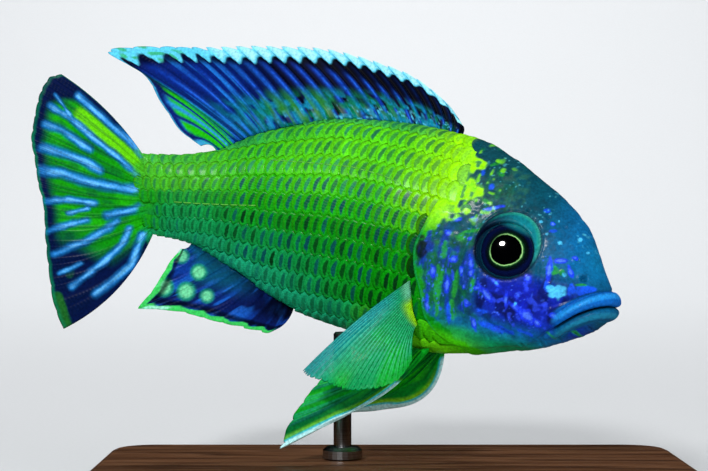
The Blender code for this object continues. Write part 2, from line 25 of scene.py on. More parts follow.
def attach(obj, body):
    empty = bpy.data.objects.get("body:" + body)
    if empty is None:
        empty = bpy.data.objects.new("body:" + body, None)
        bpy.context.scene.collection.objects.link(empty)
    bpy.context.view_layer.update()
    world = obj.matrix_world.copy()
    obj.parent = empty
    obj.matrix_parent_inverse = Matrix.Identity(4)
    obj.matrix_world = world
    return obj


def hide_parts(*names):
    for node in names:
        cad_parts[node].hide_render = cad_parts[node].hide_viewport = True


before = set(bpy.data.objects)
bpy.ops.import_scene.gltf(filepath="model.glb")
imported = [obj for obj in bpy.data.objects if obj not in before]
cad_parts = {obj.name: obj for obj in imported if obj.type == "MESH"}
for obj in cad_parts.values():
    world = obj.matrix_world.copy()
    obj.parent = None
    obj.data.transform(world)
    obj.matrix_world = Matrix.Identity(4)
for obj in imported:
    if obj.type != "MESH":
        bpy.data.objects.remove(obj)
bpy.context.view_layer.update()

LOG = logging.getLogger("cichlid")
MM = 0.001
# like parts of one mesh are made this far apart along x, which tells them from one another
APART = 10.0
# where most of a noise pattern's values lie
NOISE_SPAN = {"From Min": 0.3, "From Max": 0.7}
Rows = tuple[tuple[float, ...], ...]
Array = np.ndarray


def curve(rows: Rows, x: Array | float, column: int = 1) -> Array:
    """Read a smooth curve, with no overshoot, through the first column and one other column.

    Args:
        rows: Table whose first column rises.
        x: Where to read it.
        column: Which column to read.

    Returns:
        The value of the curve at every x.
    """
    table = np.array([[row[0], row[column]] for row in rows], float)
    xs, ys = table[:, 0], table[:, 1]
    slopes = np.diff(ys) / np.diff(xs)
    before, after = slopes[:-1], slopes[1:]
    same_way = before * after > 0.0
    inner = np.where(same_way, 2.0 * before * after / np.where(same_way, before + after, 1.0), 0.0)
    tangents = np.concatenate([slopes[:1], inner, slopes[-1:]])
    x = np.asarray(x, float)
    i = np.clip(np.searchsorted(xs, x) - 1, 0, len(slopes) - 1)
    width = xs[i + 1] - xs[i]
    t = np.clip((x - xs[i]) / width, 0.0, 1.0)
    return (
        ys[i] * (1 + 2 * t) * (1 - t) ** 2
        + tangents[i] * width * t * (1 - t) ** 2
        + ys[i + 1] * t * t * (3 - 2 * t)
        + tangents[i + 1] * width * t * t * (t - 1)
    )


def smooth(low: float, high: float, value: Array) -> Array:
    """Rise from 0 at low to 1 at high, or fall where high is below low."""
    t = np.clip((np.asarray(value, float) - low) / (high - low), 0.0, 1.0)
    return t * t * (3.0 - 2.0 * t)


def hump(value: Array, centre: Array | float, half: Array | float) -> Array:
    """Rise to 1 at the centre in a round hump that is 0 from half a width away."""
    return np.clip(1.0 - ((value - centre) / half) ** 2, 0.0, 1.0) ** 0.7


def bell(value: Array, width: Array | float) -> Array:
    """Bell curve that is 1 where the value is 0."""
    return np.exp(-((value / width) ** 2))


def running(steps: Array) -> Array:
    """Sum of the steps so far, from 0 before the first."""
    return np.concatenate([[0.0], np.cumsum(steps)])


def speckle(x: Array, y: Array, size: float, seed: int) -> Array:
    """Smooth mottling from 0 to 1 with patches of about one size, the same on every run.

    Args:
        x: First coordinate.
        y: Second coordinate.
        size: Size of a patch, in the units of the coordinates.
        seed: Which of many patterns.

    Returns:
        The mottling at every point.
    """
    x, y = np.asarray(x, float) / size, np.asarray(y, float) / size
    i, j = np.floor(x), np.floor(y)
    fx, fy = smooth(0, 1, x - i), smooth(0, 1, y - j)

    def corner(a: Array, b: Array) -> Array:
        """Fixed draw for one corner of the lattice."""
        value = np.sin(a * 127.1 + b * 311.7 + seed * 74.7) * 43758.5453
        return value - np.floor(value)

    low = corner(i, j) * (1 - fx) + corner(i + 1, j) * fx
    high = corner(i, j + 1) * (1 - fx) + corner(i + 1, j + 1) * fx
    return low * (1 - fy) + high * fy


def linear(colour: str) -> Array:
    """Turn an sRGB hex colour into linear values."""
    raw = np.array([int(colour[i:i + 2], 16) / 255.0 for i in (1, 3, 5)])
    return np.where(raw <= 0.04045, raw / 12.92, ((raw + 0.055) / 1.055) ** 2.4)


def blended(base: Array, colour: str | Array, mask: Array) -> Array:
    """Lay one colour over others by a mask from 0 to 1.

    Args:
        base: The colours underneath.
        colour: A hex colour, or one linear colour for each point.
        mask: How much of it shows.

    Returns:
        One linear colour for each point.
    """
    over = linear(colour) if isinstance(colour, str) else colour
    mask = np.clip(mask, 0.0, 1.0)[:, None]
    return base * (1.0 - mask) + over * mask


def painted(base: Array | str, *layers: tuple) -> Array:
    """Lay colours over one another in turn.

    Args:
        base: The colours to start from, or one colour for every point.
        layers: Each a colour and a mask from 0 to 1.

    Returns:
        One linear colour for each point.
    """
    tone = np.tile(linear(base), (len(layers[0][1]), 1)) if isinstance(base, str) else base
    for colour, mask in layers:
        tone = blended(tone, colour, mask)
    return tone


def near_line(u: Array, w: Array, points: Rows | Array) -> Array:
    """Distance in the side view from every point to a line through a few points.

    Args:
        u: Distance from the snout.
        w: Level.
        points: Places of the line in u and w.

    Returns:
        One distance for each point.
    """
    best = np.full(len(u), 1e9)
    for (u0, w0), (u1, w1) in zip(points, points[1:]):
        du, dw = u1 - u0, w1 - w0
        t = np.clip(((u - u0) * du + (w - w0) * dw) / (du * du + dw * dw), 0.0, 1.0)
        best = np.minimum(best, np.hypot(u - u0 - du * t, w - w0 - dw * t))
    return best


def in_blob(u: Array, w: Array, blob: tuple[float, ...], seed: int = 3) -> Array:
    """Mask of a ragged oval mark: centre, two half sizes and its rise towards the head in degrees.

    Args:
        u: Distance from the snout.
        w: Level.
        blob: Centre, two half sizes and the rise towards the head in degrees.
        seed: Which ragged edge.

    Returns:
        One value from 0 to 1 for each point.
    """
    cu, cw, ru, rw, tilt = blob
    c, s = math.cos(math.radians(tilt)), math.sin(math.radians(tilt))
    du, dw = cu - u, w - cw
    reach = np.hypot((du * c + dw * s) / ru, (-du * s + dw * c) / rw)
    ragged = 0.75 * (speckle(u, w, 0.75, seed) - 0.5) + 0.4 * (speckle(u, w, 2, seed + 9) - 0.5)
    return smooth(1.15, 0.75, reach + ragged)


@dataclass(frozen=True)
class Pose:
    """The bend and the tilt that carry the straight fish to its place above the stand."""

    head_yaw: float = math.radians(25.0)
    tail_yaw: float = math.radians(2.0)
    bend_from: float = 30.0
    bend_to: float = 105.0
    head_down: float = math.radians(12.7)
    centre: float = 50.0
    height: float = 52.0
    covers: tuple[float, float] = (-20.0, 160.01)
    step: float = 0.5

    def midline(self) -> tuple[Array, ...]:
        """Heading and plan position of the bent midline at short steps.

        Returns:
            Distances along the midline, headings, and plan x and y.
        """
        steps = np.arange(*self.covers, self.step)
        share = smooth(self.bend_from, self.bend_to, steps)
        yaw = self.head_yaw + (self.tail_yaw - self.head_yaw) * share
        middle = 0.5 * (yaw[1:] + yaw[:-1])
        x = running(-self.step * np.cos(middle))
        y = running(self.step * np.sin(middle))
        return steps, yaw, x - np.interp(self.centre, steps, x), y - np.interp(self.centre, steps, y)

    def place(self, points: Array) -> Array:
        """Carry straight points in millimetres to the finished pose in metres.

        Args:
            points: One row of u, v and w for each point.

        Returns:
            One row of x, y and z for each point.
        """
        steps, yaws, xs, ys = self.midline()
        u, v, w = points.T
        yaw = np.interp(u, steps, yaws)
        x = np.interp(u, steps, xs) - v * np.sin(yaw)
        y = np.interp(u, steps, ys) - v * np.cos(yaw)
        c, s = math.cos(self.head_down), math.sin(self.head_down)
        return np.column_stack([x * c + w * s, y, -x * s + w * c + self.height]) * MM


@dataclass(frozen=True)
class BodyForm:
    """Outline of the body: back, belly, half width and widest level along the fish."""

    stations: Rows = (
        (-0.1, -0.3, -1.7, 1.8, -1),
        (0.7, 0.9, -3.2, 3.2, -1.2),
        (2.1, 2.9, -5.2, 4.4, -1.5),
        (4, 5.7, -7, 5.2, -1.7),
        (9, 13.3, -10.1, 6.7, -1.6),
        (14, 17.3, -12.6, 7.7, -1.2),
        (20, 20.6, -14.7, 8.7, -0.8),
        (28, 24.4, -17.1, 9.8, -0.2),
        (38, 27.3, -18.9, 10.5, 1),
        (48, 27.5, -18.8, 10.5, 2),
        (58, 26.8, -18.1, 9.9, 2.6),
        (68, 25.2, -16.9, 8.8, 3),
        (76, 22.6, -14.3, 7.4, 3.2),
        (84, 18.8, -11.1, 5.9, 3),
        (93, 13, -8.3, 4.3, 2.2),
        (99, 10.3, -7.8, 3.4, 1.2),
        (110, 8.2, -8.2, 2.4, 0.2),
    )
    gill_edge: Rows = (
        (0, 36), (40, 37), (60, 38.4), (76, 40.2), (88, 41.3), (98, 40.4), (110, 38.2), (126, 36.4),
        (136, 34.2), (145, 31.6), (155, 29), (180, 27),
    )
    upper_roundness: float = 1.9
    lower_roundness: float = 2.15
    tail_end: float = 104.3
    tail_slant: float = 0.34
    slant_from: float = 90.0
    thins: tuple[float, float] = (6.0, 4.6)
    eye: tuple[float, float, float] = (22.5, 6.6, 5.3)
    eye_semi_axes: tuple[float, float, float] = (7.0, 3.3, 6.7)
    eye_slope: tuple[float, float] = (0.155, -0.13)
    # lids: two half sizes, where their edge lies at least, how much it rises and towards where
    lid_size: tuple[float, float] = (6.35, 6.05)
    lid_edge: float = 0.98
    lid_rise: float = 0.38
    lid_top: float = math.radians(78.0)
    # line of the mouth: level at the snout, slope and bend
    mouth: tuple[float, float, float] = (-1.0, -0.32, -0.038)

    def station(self, u: Array) -> list[Array]:
        """Back, belly, half width and widest level at every distance from the snout."""
        return [curve(self.stations, u, column) for column in (1, 2, 3, 4)]

    def point(self, u: Array, angle: Array, lift: Array | float = 0.0) -> Array:
        """Points on the body's outline, lifted from it by some millimetres.

        Args:
            u: Distance from the snout.
            angle: Degrees round the section from the back over the right side.
            lift: Height over the outline.

        Returns:
            One row of u, v and w for each point.
        """
        back, belly, half, level = self.station(u)
        side, rise = np.sin(np.radians(angle)), np.cos(np.radians(angle))
        upper = rise >= 0.0
        power = np.where(upper, 2.0 / self.upper_roundness, 2.0 / self.lower_roundness)
        reach = np.where(upper, back - level, level - belly)
        v = np.sign(side) * half * np.abs(side) ** power
        w = np.sign(rise) * reach * np.abs(rise) ** power
        stretch = 1.0 + lift / np.maximum(np.hypot(v, w), 0.1)
        return np.column_stack([u + 0.0 * v, v * stretch, level + w * stretch])

    def girth(self, u: float, angles: Array) -> Array:
        """Length round the section at u, from the first angle to every angle."""
        ring = self.point(np.full(len(angles), u), angles)
        return running(np.linalg.norm(np.diff(ring, axis=0), axis=1))

    def side_width(self, u: Array, w: Array) -> Array:
        """Half width of the body at a distance from the snout and a level.

        Args:
            u: Distance from the snout.
            w: Level.

        Returns:
            One half width for each point.
        """
        back, belly, half, level = self.station(u)
        upper = w >= level
        power = np.where(upper, self.upper_roundness, self.lower_roundness)
        share = np.minimum(np.abs(w - level) / np.where(upper, back - level, level - belly), 1.0)
        return half * (1.0 - share**power) ** (1.0 / power)

    def belly_level(self, u: Array, v: Array) -> Array:
        """Level of the underside at a distance from the snout and a side offset.

        Args:
            u: Distance from the snout.
            v: Side offset.

        Returns:
            One level for each point.
        """
        _, belly, half, level = self.station(u)
        power = self.lower_roundness
        share = np.minimum(np.abs(v) / half, 1.0)
        return level - (level - belly) * (1.0 - share**power) ** (1.0 / power)

    def share_up(self, u: Array, w: Array) -> Array:
        """Height over the belly as a share of the body's depth there."""
        back, belly, _, _ = self.station(u)
        return (w - belly) / np.maximum(back - belly, 1.0)

    def finish_tail(self, points: Array, u: Array, thinned: float) -> None:
        """Slant the root of the tail and thin it towards the fin.

        Args:
            points: Straight positions, which are changed.
            u: Distance from the snout before the slant.
            thinned: Share of the width that is gone in the end.
        """
        before, past = self.thins
        points[:, 0] += self.tail_slant * points[:, 2] * smooth(self.slant_from, self.tail_end, u)
        points[:, 1] *= 1.0 - thinned * smooth(self.tail_end - before, self.tail_end + past, u)

    def gill_line(self, angle: Array) -> Array:
        """Distance from the snout of the rear edge of the head at an angle."""
        turned = np.mod(angle, 360.0)
        return curve(self.gill_edge, np.where(turned <= 180.0, turned, 360.0 - turned))

    def lid(self, u: Array, w: Array) -> tuple[Array, Array, Array]:
        """Distance from the eye in eye sizes, the same for the lids' outer edge, and the bearing.

        Args:
            u: Distance from the snout.
            w: Level.

        Returns:
            Distances, distances of the outer edge, and bearings in radians.
        """
        cu, _, cw = self.eye
        turn = np.arctan2(w - cw, cu - u)
        rim = self.lid_edge + self.lid_rise * (0.5 + 0.5 * np.cos(turn - self.lid_top)) ** 3.2
        return np.hypot((u - cu) / self.lid_size[0], (w - cw) / self.lid_size[1]), rim, turn

    def mouth_level(self, u: Array) -> Array:
        """Level of the line of the mouth."""
        reach = np.maximum(u, 0.0)
        return self.mouth[0] + self.mouth[1] * reach + self.mouth[2] * reach**2


FORM = BodyForm()
POSE = Pose()


def mesh_of(shape: bmesh.types.BMesh, name: str) -> Mesh:
    """Turn a bmesh into a named mesh and free it.

    Args:
        shape: The bmesh.
        name: Name of the mesh.

    Returns:
        The mesh.
    """
    mesh = bpy.data.meshes.new(name)
    shape.to_mesh(mesh)
    shape.free()
    return mesh


def points_of(mesh: Mesh) -> Array:
    """Positions of a mesh's vertices, one row each.

    Args:
        mesh: The mesh.

    Returns:
        One row of x, y and z for each vertex.
    """
    flat = np.empty(len(mesh.vertices) * 3)
    mesh.vertices.foreach_get("co", flat)
    return flat.reshape(-1, 3)


def set_points(mesh: Mesh, points: Array) -> None:
    """Give a mesh's vertices new positions."""
    mesh.vertices.foreach_set("co", np.ascontiguousarray(points, np.float32).ravel())
    mesh.update()


def closed(mesh: Mesh, merge: float = 1e-4) -> None:
    """Merge a mesh's seams and poles and turn all its faces outwards.

    Args:
        mesh: The mesh.
        merge: How near two vertices are that become one, or 0 to merge none.
    """
    shape = bmesh.new()
    shape.from_mesh(mesh)
    if merge:
        bmesh.ops.remove_doubles(shape, verts=shape.verts[:], dist=merge)
        bmesh.ops.dissolve_degenerate(shape, dist=1e-6, edges=shape.edges[:])
    bmesh.ops.recalc_face_normals(shape, faces=shape.faces[:])
    shape.to_mesh(mesh)
    shape.free()


def sided(name: str, side: float) -> str:
    """Name of a piece on the right side, where side is 1, or on the left, where it is -1."""
    return f"{name}_right" if side > 0.0 else f"{name}_left"


def keep(mesh: Mesh, name: str, values: Array) -> None:
    """Store numbers, points or colours at a mesh's vertices for its material to read.

    Args:
        mesh: The mesh.
        name: Name of the attribute.
        values: One number, or one row of three, for each vertex. A name that starts with
            "paint" makes a row of three a colour.
    """
    values = np.asarray(values, np.float32)
    if values.ndim == 1:
        made = mesh.attributes.new(name, "FLOAT", "POINT")
        made.data.foreach_set("value", values)
    elif name.startswith("paint"):
        made = mesh.attributes.new(name, "FLOAT_COLOR", "POINT")
        made.data.foreach_set("color", np.column_stack([values, np.ones(len(values))]).ravel())
    else:
        made = mesh.attributes.new(name, "FLOAT_VECTOR", "POINT")
        made.data.foreach_set("vector", values.ravel())


def keep_map(mesh: Mesh, name: str, places: Array) -> None:
    """Store a UV map given one place for each vertex.

    Args:
        mesh: The mesh.
        name: Name of the map.
        places: One place for each vertex.
    """
    corners = np.empty(len(mesh.loops), np.int32)
    mesh.loops.foreach_get("vertex_index", corners)
    layer = mesh.uv_layers.new(name=name)
    layer.data.foreach_set("uv", np.asarray(places, np.float32)[corners].ravel())


def show(mesh: Mesh, finish: Material, stands_for: tuple[str, ...] = ()) -> Object:
    """Put a mesh in the scene as a piece of the model.

    Args:
        mesh: The finished mesh, in place.
        finish: Its material.
        stands_for: CAD nodes that it is shown instead of.

    Returns:
        The new object.
    """
    mesh.materials.append(finish)
    mesh.shade_smooth()
    made = bpy.data.objects.new(mesh.name, mesh)
    bpy.context.scene.collection.objects.link(made)
    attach(made, "root")
    if stands_for:
        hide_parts(*stands_for)
    LOG.info("%s: %d faces", mesh.name, len(mesh.polygons))
    return made


def feed(node: Node, settings: dict | None = None, links: dict | None = None) -> None:
    """Set a node's values and link what feeds it.

    Args:
        node: The node.
        settings: Properties by name, or values of input sockets by their label or number.
        links: For an input socket's label or number, the output socket that feeds it, or a
            node where that is its first.
    """
    for key, value in (settings or {}).items():
        if isinstance(key, str) and hasattr(node, key):
            setattr(node, key, value)
        else:
            node.inputs[key].default_value = value
    for key, source in (links or {}).items():
        socket = source.outputs[0] if isinstance(source, Node) else source
        node.id_data.links.new(socket, node.inputs[key])


def add_node(material: Material, kind: str, settings: dict | None = None,
             links: dict | None = None) -> Node:
    """Add one node with its settings and links.

    Args:
        material: The material that gets the node.
        kind: The node's type, as Blender names it after the word ShaderNode.
        settings: Properties by name, or values of input sockets by their label or number.
        links: For an input socket's label or number, the output socket that feeds it, or a
            node where that is its first.

    Returns:
        The new node.
    """
    node = material.node_tree.nodes.new("ShaderNode" + kind)
    feed(node, settings, links)
    return node


def new_material(name: str) -> tuple[Material, Node, Callable[..., Node]]:
    """Make a material that holds nothing but its shader and output.

    Args:
        name: Name of the material.

    Returns:
        The material, its shader, and what adds a node to it.
    """
    material = bpy.data.materials.new(name)
    material.use_nodes = True
    material.node_tree.nodes.clear()
    shader = add_node(material, "BsdfPrincipled")
    add_node(material, "OutputMaterial", links={"Surface": shader.outputs["BSDF"]})
    return material, shader, partial(add_node, material)


def set_ramp(node: Node, stops: tuple[tuple[float, str], ...]) -> None:
    """Give a colour ramp its stops.

    Args:
        node: The ramp.
        stops: Each a place from 0 to 1 and a hex colour.
    """
    elements = node.color_ramp.elements
    while len(elements) > 1:
        elements.remove(elements[-1])
    elements[0].position = stops[0][0]
    elements[0].color = (*linear(stops[0][1]), 1.0)
    for place, colour in stops[1:]:
        elements.new(place).color = (*linear(colour), 1.0)


def mottled(add: Callable[..., Node], colour: Node | NodeSocket, place: NodeSocket, noise: dict,
            tones: tuple[float, float]) -> tuple[Node, Node]:
    """Break up a colour with fine noise, as cells of pigment do.

    Args:
        add: What adds a node to the material.
        colour: What gives the colour.
        place: Socket with the position that the noise follows.
        noise: Settings of the noise.
        tones: Brightness of its darkest and its lightest spots.

    Returns:
        The noise, and the node that gives the broken colour.
    """
    cells = add("TexNoise", noise, {"Vector": place})
    tone = add("MapRange", {**NOISE_SPAN, "To Min": tones[0], "To Max": tones[1]}, {"Value": cells})
    return cells, add("HueSaturation", {}, {"Color": colour, "Value": tone})


@dataclass(frozen=True)
class WetSkin:
    """Scaleless fish skin in a thin coat of slime, sealed as a museum model is.

    The paint comes with the mesh, a fine speckle of pigment cells breaks it up, and the thin
    coat gives small soft lights over the pores. Cells and pores are drawn coarser than real
    ones, which are too fine to show.
    """

    name: str
    cell_mm: float = 0.55
    pore_mm: float = 0.3
    cloud_mm: float = 3.125
    roughness: float = 0.42
    coat: float = 0.06
    bump_mm: float = 0.05

    def make(self) -> Material:
        """Build the material.

        Returns:
            The material.
        """
        material, shader, add = new_material(self.name)
        place, paint = (add("Attribute", {"attribute_name": name}) for name in ("fish", "paint"))
        cells, colour = mottled(add, paint, place.outputs["Vector"],
                                {"Scale": 1.0 / self.cell_mm, "Detail": 3.0, "Roughness": 0.65},
                                (0.72, 1.28))
        clouds = add("TexNoise", {"Scale": 1.0 / self.cloud_mm, "Detail": 2.0},
                     {"Vector": place.outputs["Vector"]})
        rough = add("MapRange",
                    {**NOISE_SPAN, "To Min": self.roughness - 0.08, "To Max": self.roughness + 0.1},
                    {"Value": clouds})
        pores = add("TexVoronoi", {"Scale": 1.0 / self.pore_mm}, {"Vector": place.outputs["Vector"]})
        height = add("Math", {"operation": "MULTIPLY"}, {0: pores, 1: cells})
        bump = add("Bump", {"Strength": 0.5, "Distance": self.bump_mm * MM}, {"Height": height})
        feed(shader,
             {"IOR": 1.38, "Specular IOR Level": 0.15, "Coat Weight": self.coat, "Coat Roughness": 0.12},
             {"Base Color": colour, "Roughness": rough, "Normal": bump})
        return material


@dataclass(frozen=True)
class ScaleHorn:
    """Thin horny scales with a dark mark near the rear edge and a brighter margin behind it.

    Fine grooves fan out to the rear edge and rings follow it, as growth leaves them, so the
    light breaks into short streaks on every scale. Both are far coarser than real ones, which
    are too fine to show.
    """

    name: str
    groove_count: float = 26.0
    ring_count: float = 15.0
    roughness: float = 0.34
    wobbles_per_mm: float = 0.9
    cells_per_mm: float = 2.1
    mark_long: float = 0.112
    mark_tall: float = 0.72

    def make(self) -> Material:
        """Build the material.

        Returns:
            The material.
        """
        material, shader, add = new_material(self.name)
        place, paint, mark, edge, facts = (
            add("Attribute", {"attribute_name": name})
            for name in ("fish", "paint", "paint_mark", "paint_edge", "facts")
        )
        plate = add("UVMap", {"uv_map": "Plate"})
        axes = add("SeparateXYZ", links={"Vector": plate})
        fact = add("SeparateXYZ", links={"Vector": facts.outputs["Vector"]})
        wobble = add("TexNoise", {"Scale": self.wobbles_per_mm, "Detail": 3.0},
                     {"Vector": place.outputs["Vector"]})
        x, y = axes.outputs["X"], axes.outputs["Y"]
        made: dict[str, Node] = {}
        for name, operation, *terms in (
            ("stray", "SUBTRACT", wobble, 0.5),
            ("drift", "MULTIPLY_ADD", "stray", 0.14, x),
            # the mark leans with the row that its scale lies in
            ("along", "MULTIPLY_ADD", y, fact.outputs["Y"], "drift"),
            ("aside", "MULTIPLY_ADD", "stray", 0.5, y),
            ("across", "ABSOLUTE", "aside"),
            ("past", "SUBTRACT", "along", fact.outputs["Z"]),
            ("off", "ABSOLUTE", "past"),
            ("long", "DIVIDE", "off", self.mark_long),
            ("tall", "DIVIDE", "across", self.mark_tall),
            ("long_part", "POWER", "long", 2.0),
            ("tall_part", "POWER", "tall", 3.0),
            ("both", "ADD", "long_part", "tall_part"),
            ("reach", "SQRT", "both"),
            ("comb", "MULTIPLY", y, self.groove_count),
            ("grooves", "SINE", "comb"),
            ("turns", "MULTIPLY", x, self.ring_count * math.tau),
            ("rings", "SINE", "turns"),
            ("height", "MULTIPLY_ADD", "rings", 0.35, "grooves"),
        ):
            ready = [made[term] if isinstance(term, str) else term for term in terms]
            numbers = {at: term for at, term in enumerate(ready) if isinstance(term, float)}
            sockets = {at: term for at, term in enumerate(ready) if at not in numbers}
            made[name] = add("Math", {"operation": operation, **numbers}, sockets)
        inside = add("MapRange", {"interpolation_type": "SMOOTHSTEP", "From Min": 1.25, "From Max": 0.6},
                     {"Value": made["reach"]})
        marked = add("Math", {"operation": "MULTIPLY", "use_clamp": True},
                     {0: inside, 1: fact.outputs["X"]})
        rim = add("MapRange", {"interpolation_type": "SMOOTHSTEP", "From Min": 0.8, "From Max": 1.0},
                  {"Value": made["along"]})
        edged = add("Mix", {"data_type": "RGBA"}, {0: rim, 6: paint, 7: edge})
        coloured = add("Mix", {"data_type": "RGBA"}, {0: marked, 6: edged.outputs[2], 7: mark})
        cells, colour = mottled(add, coloured.outputs[2], place.outputs["Vector"],
                                {"Scale": self.cells_per_mm, "Detail": 3.0}, (0.74, 1.25))
        rough = add("MapRange",
                    {**NOISE_SPAN, "To Min": self.roughness - 0.08, "To Max": self.roughness + 0.12},
                    {"Value": cells})
        bump = add("Bump", {"Strength": 0.35, "Distance": 0.03 * MM}, {"Height": made["height"]})
        feed(shader,
             {"IOR": 1.42, "Specular IOR Level": 0.07, "Coat Weight": 0.05, "Coat Roughness": 0.15},
             {"Base Color": colour, "Roughness": rough, "Normal": bump})
        return material


@dataclass(frozen=True)
class FinMembrane:
    """Fin web between bony rays, wet, and a little see-through where it has no dark pigment.

    The paint comes with the mesh. The joints of the soft rays show as fine cross lines,
    fewer than real ones so that they show.
    """

    name: str
    joint_mm: float = 0.8
    cells_per_mm: float = 1.7
    see_through: float = 0.0
    roughness: float = 0.33

    def make(self) -> Material:
        """Build the material.

        Returns:
            The material.
        """
        material, shader, add = new_material(self.name)
        place, paint, ray, down = (add("Attribute", {"attribute_name": name})
                                   for name in ("fish", "paint", "ray", "down"))
        cells, colour = mottled(add, paint, place.outputs["Vector"],
                                {"Scale": self.cells_per_mm, "Detail": 3.0}, (0.75, 1.25))
        phase = add("Math", {"operation": "MULTIPLY", 1: math.tau / self.joint_mm},
                    {0: down.outputs["Fac"]})
        wave = add("Math", {"operation": "SINE"}, {0: phase})
        joints = add("Math", {"operation": "MULTIPLY"}, {0: wave, 1: ray.outputs["Fac"]})
        height = add("Math", {"operation": "MULTIPLY_ADD", 1: 0.6}, {0: cells, 2: joints})
        bump = add("Bump", {"Strength": 0.3, "Distance": 0.05 * MM}, {"Height": height})
        feed(shader,
             {"Roughness": self.roughness, "IOR": 1.42, "Specular IOR Level": 0.05, "Coat Weight": 0.02,
              "Coat Roughness": 0.15},
             {"Base Color": colour, "Normal": bump})
        if self.see_through:
            alpha = add("MapRange", {"To Min": 1.0 - self.see_through, "To Max": 1.0},
                        {"Value": ray.outputs["Fac"]})
            feed(shader, links={"Alpha": alpha})
        return material


@dataclass(frozen=True)
class GlassEye:
    """Cast eye with a painted iris under a clear polished dome.

    The iris is navy, almost black, with a thin gold-green ring round the pupil, painted
    lighter at its upper front and below as painted light, and the upper part is veiled in
    teal. The coat gives the one sharp wet light.
    """

    name: str = "painted_glass_eye"
    fibres_per_mm: float = 1.6
    navy: tuple[tuple[float, str], ...] = ((0.93, "#040A28"), (0.97, "#083848"), (1.0, "#062438"))

    def make(self) -> Material:
        """Build the material.

        Returns:
            The material.
        """
        material, shader, add = new_material(self.name)
        place, pupil, veil, glow = (add("Attribute", {"attribute_name": name})
                                    for name in ("fish", "pupil", "veil", "glow"))
        fibre = add("TexNoise", {"Scale": self.fibres_per_mm, "Detail": 4.0},
                    {"Vector": place.outputs["Vector"]})
        ragged = add("Math", {"operation": "MULTIPLY_ADD", 1: 0.06}, {0: fibre, 2: pupil.outputs["Fac"]})
        # painted light: the ring is bright where glow is 1 and dim where it is 0
        bright, dim = (add("ValToRGB", {}, {"Fac": ragged}) for _ in range(2))
        set_ramp(bright, ((0.0, "#010102"), (0.54, "#010102"), (0.553, "#7CC064"), (0.57, "#B8EC9C"),
                          (0.588, "#22602C"), (0.63, "#04180E"), (0.72, "#04080F"), (0.8, "#06103A"),
                          *self.navy))
        set_ramp(dim, ((0.0, "#010102"), (0.54, "#010102"), (0.565, "#2C5834"), (0.6, "#060C0A"),
                       (0.8, "#050E34"), *self.navy))
        iris = add("Mix", {"data_type": "RGBA"}, {0: glow.outputs["Fac"], 6: dim, 7: bright})
        sheen = add("ValToRGB", {}, {"Fac": veil.outputs["Fac"]})
        set_ramp(sheen, ((0.0, "#05182C"), (0.3, "#0A4A5C"), (0.7, "#127A80"), (0.92, "#2CA48C"),
                         (1.0, "#0C5A60")))
        cover = add("MapRange", {"interpolation_type": "SMOOTHSTEP", "From Min": 0.0, "From Max": 0.35},
                    {"Value": veil.outputs["Fac"]})
        mixed = add("Mix", {"data_type": "RGBA"}, {0: cover, 6: iris.outputs[2], 7: sheen})
        feed(shader, {"Roughness": 0.06, "IOR": 1.34, "Coat Weight": 1.0, "Coat Roughness": 0.03},
             {"Base Color": mixed.outputs[2]})
        return material


@dataclass(frozen=True)
class OiledWalnut:
    """Planed walnut board, oiled: brown long grain with darker pores, low sheen."""

    name: str = "oiled_walnut"
    ring_mm: float = 5.5
    pore_mm: float = 0.35

    def make(self) -> Material:
        """Build the material.

        Returns:
            The material.
        """
        material, shader, add = new_material(self.name)
        place = add("TexCoord")
        long_way, fine = (
            add("Mapping", {"Scale": (stretch, 1.0, 1.0)}, {"Vector": place.outputs["Object"]})
            for stretch in (0.09, 0.05)
        )
        bend = add("TexNoise", {"Scale": 1.0 / (self.ring_mm * 2.2 * MM), "Detail": 3.0},
                   {"Vector": long_way})
        rings = add("Math", {"operation": "MULTIPLY", 1: 7.0}, {0: bend})
        band = add("Math", {"operation": "FRACT"}, {0: rings})
        wood = add("ValToRGB", {}, {"Fac": band})
        set_ramp(wood, ((0.0, "#4A2E1C"), (0.35, "#6B452B"), (0.75, "#7A5235"), (0.95, "#543521"),
                        (1.0, "#4A2E1C")))
        pores = add("TexNoise", {"Scale": 1.0 / (self.pore_mm * MM), "Detail": 2.0}, {"Vector": fine})
        open_pore = add("MapRange", {"From Min": 0.34, "From Max": 0.48, "To Min": 0.55, "To Max": 1.0},
                        {"Value": pores})
        shaded = add("HueSaturation", {}, {"Color": wood, "Value": open_pore})
        bump = add("Bump", {"Strength": 0.4, "Distance": 0.05 * MM}, {"Height": open_pore})
        rough = add("MapRange", {"From Min": 0.5, "From Max": 1.0, "To Min": 0.62, "To Max": 0.42},
                    {"Value": open_pore})
        feed(shader, links={"Base Color": shaded, "Roughness": rough, "Normal": bump})
        return material


@dataclass(frozen=True)
class BrushedSteel:
    """Turned and brushed steel rod: grey, with fine rings round it that smear the lights.

    The rings are as coarse as they need to be to show.
    """

    name: str = "brushed_steel"
    brush_mm: float = 0.25

    def make(self) -> Material:
        """Build the material.

        Returns:
            The material.
        """
        material, shader, add = new_material(self.name)
        place = add("TexCoord")
        round_it = add("Mapping", {"Scale": (0.02, 0.02, 1.0)}, {"Vector": place.outputs["Object"]})
        brush = add("TexNoise", {"Scale": 1.0 / (self.brush_mm * MM), "Detail": 2.0},
                    {"Vector": round_it})
        tone = add("ValToRGB", {}, {"Fac": brush})
        set_ramp(tone, ((0.3, "#8E9092"), (0.7, "#B4B6B8")))
        rough = add("MapRange", {"To Min": 0.24, "To Max": 0.42}, {"Value": brush})
        bump = add("Bump", {"Strength": 0.3, "Distance": 0.02 * MM}, {"Height": brush})
        feed(shader, {"Metallic": 1.0}, {"Base Color": tone, "Roughness": rough, "Normal": bump})
        return material


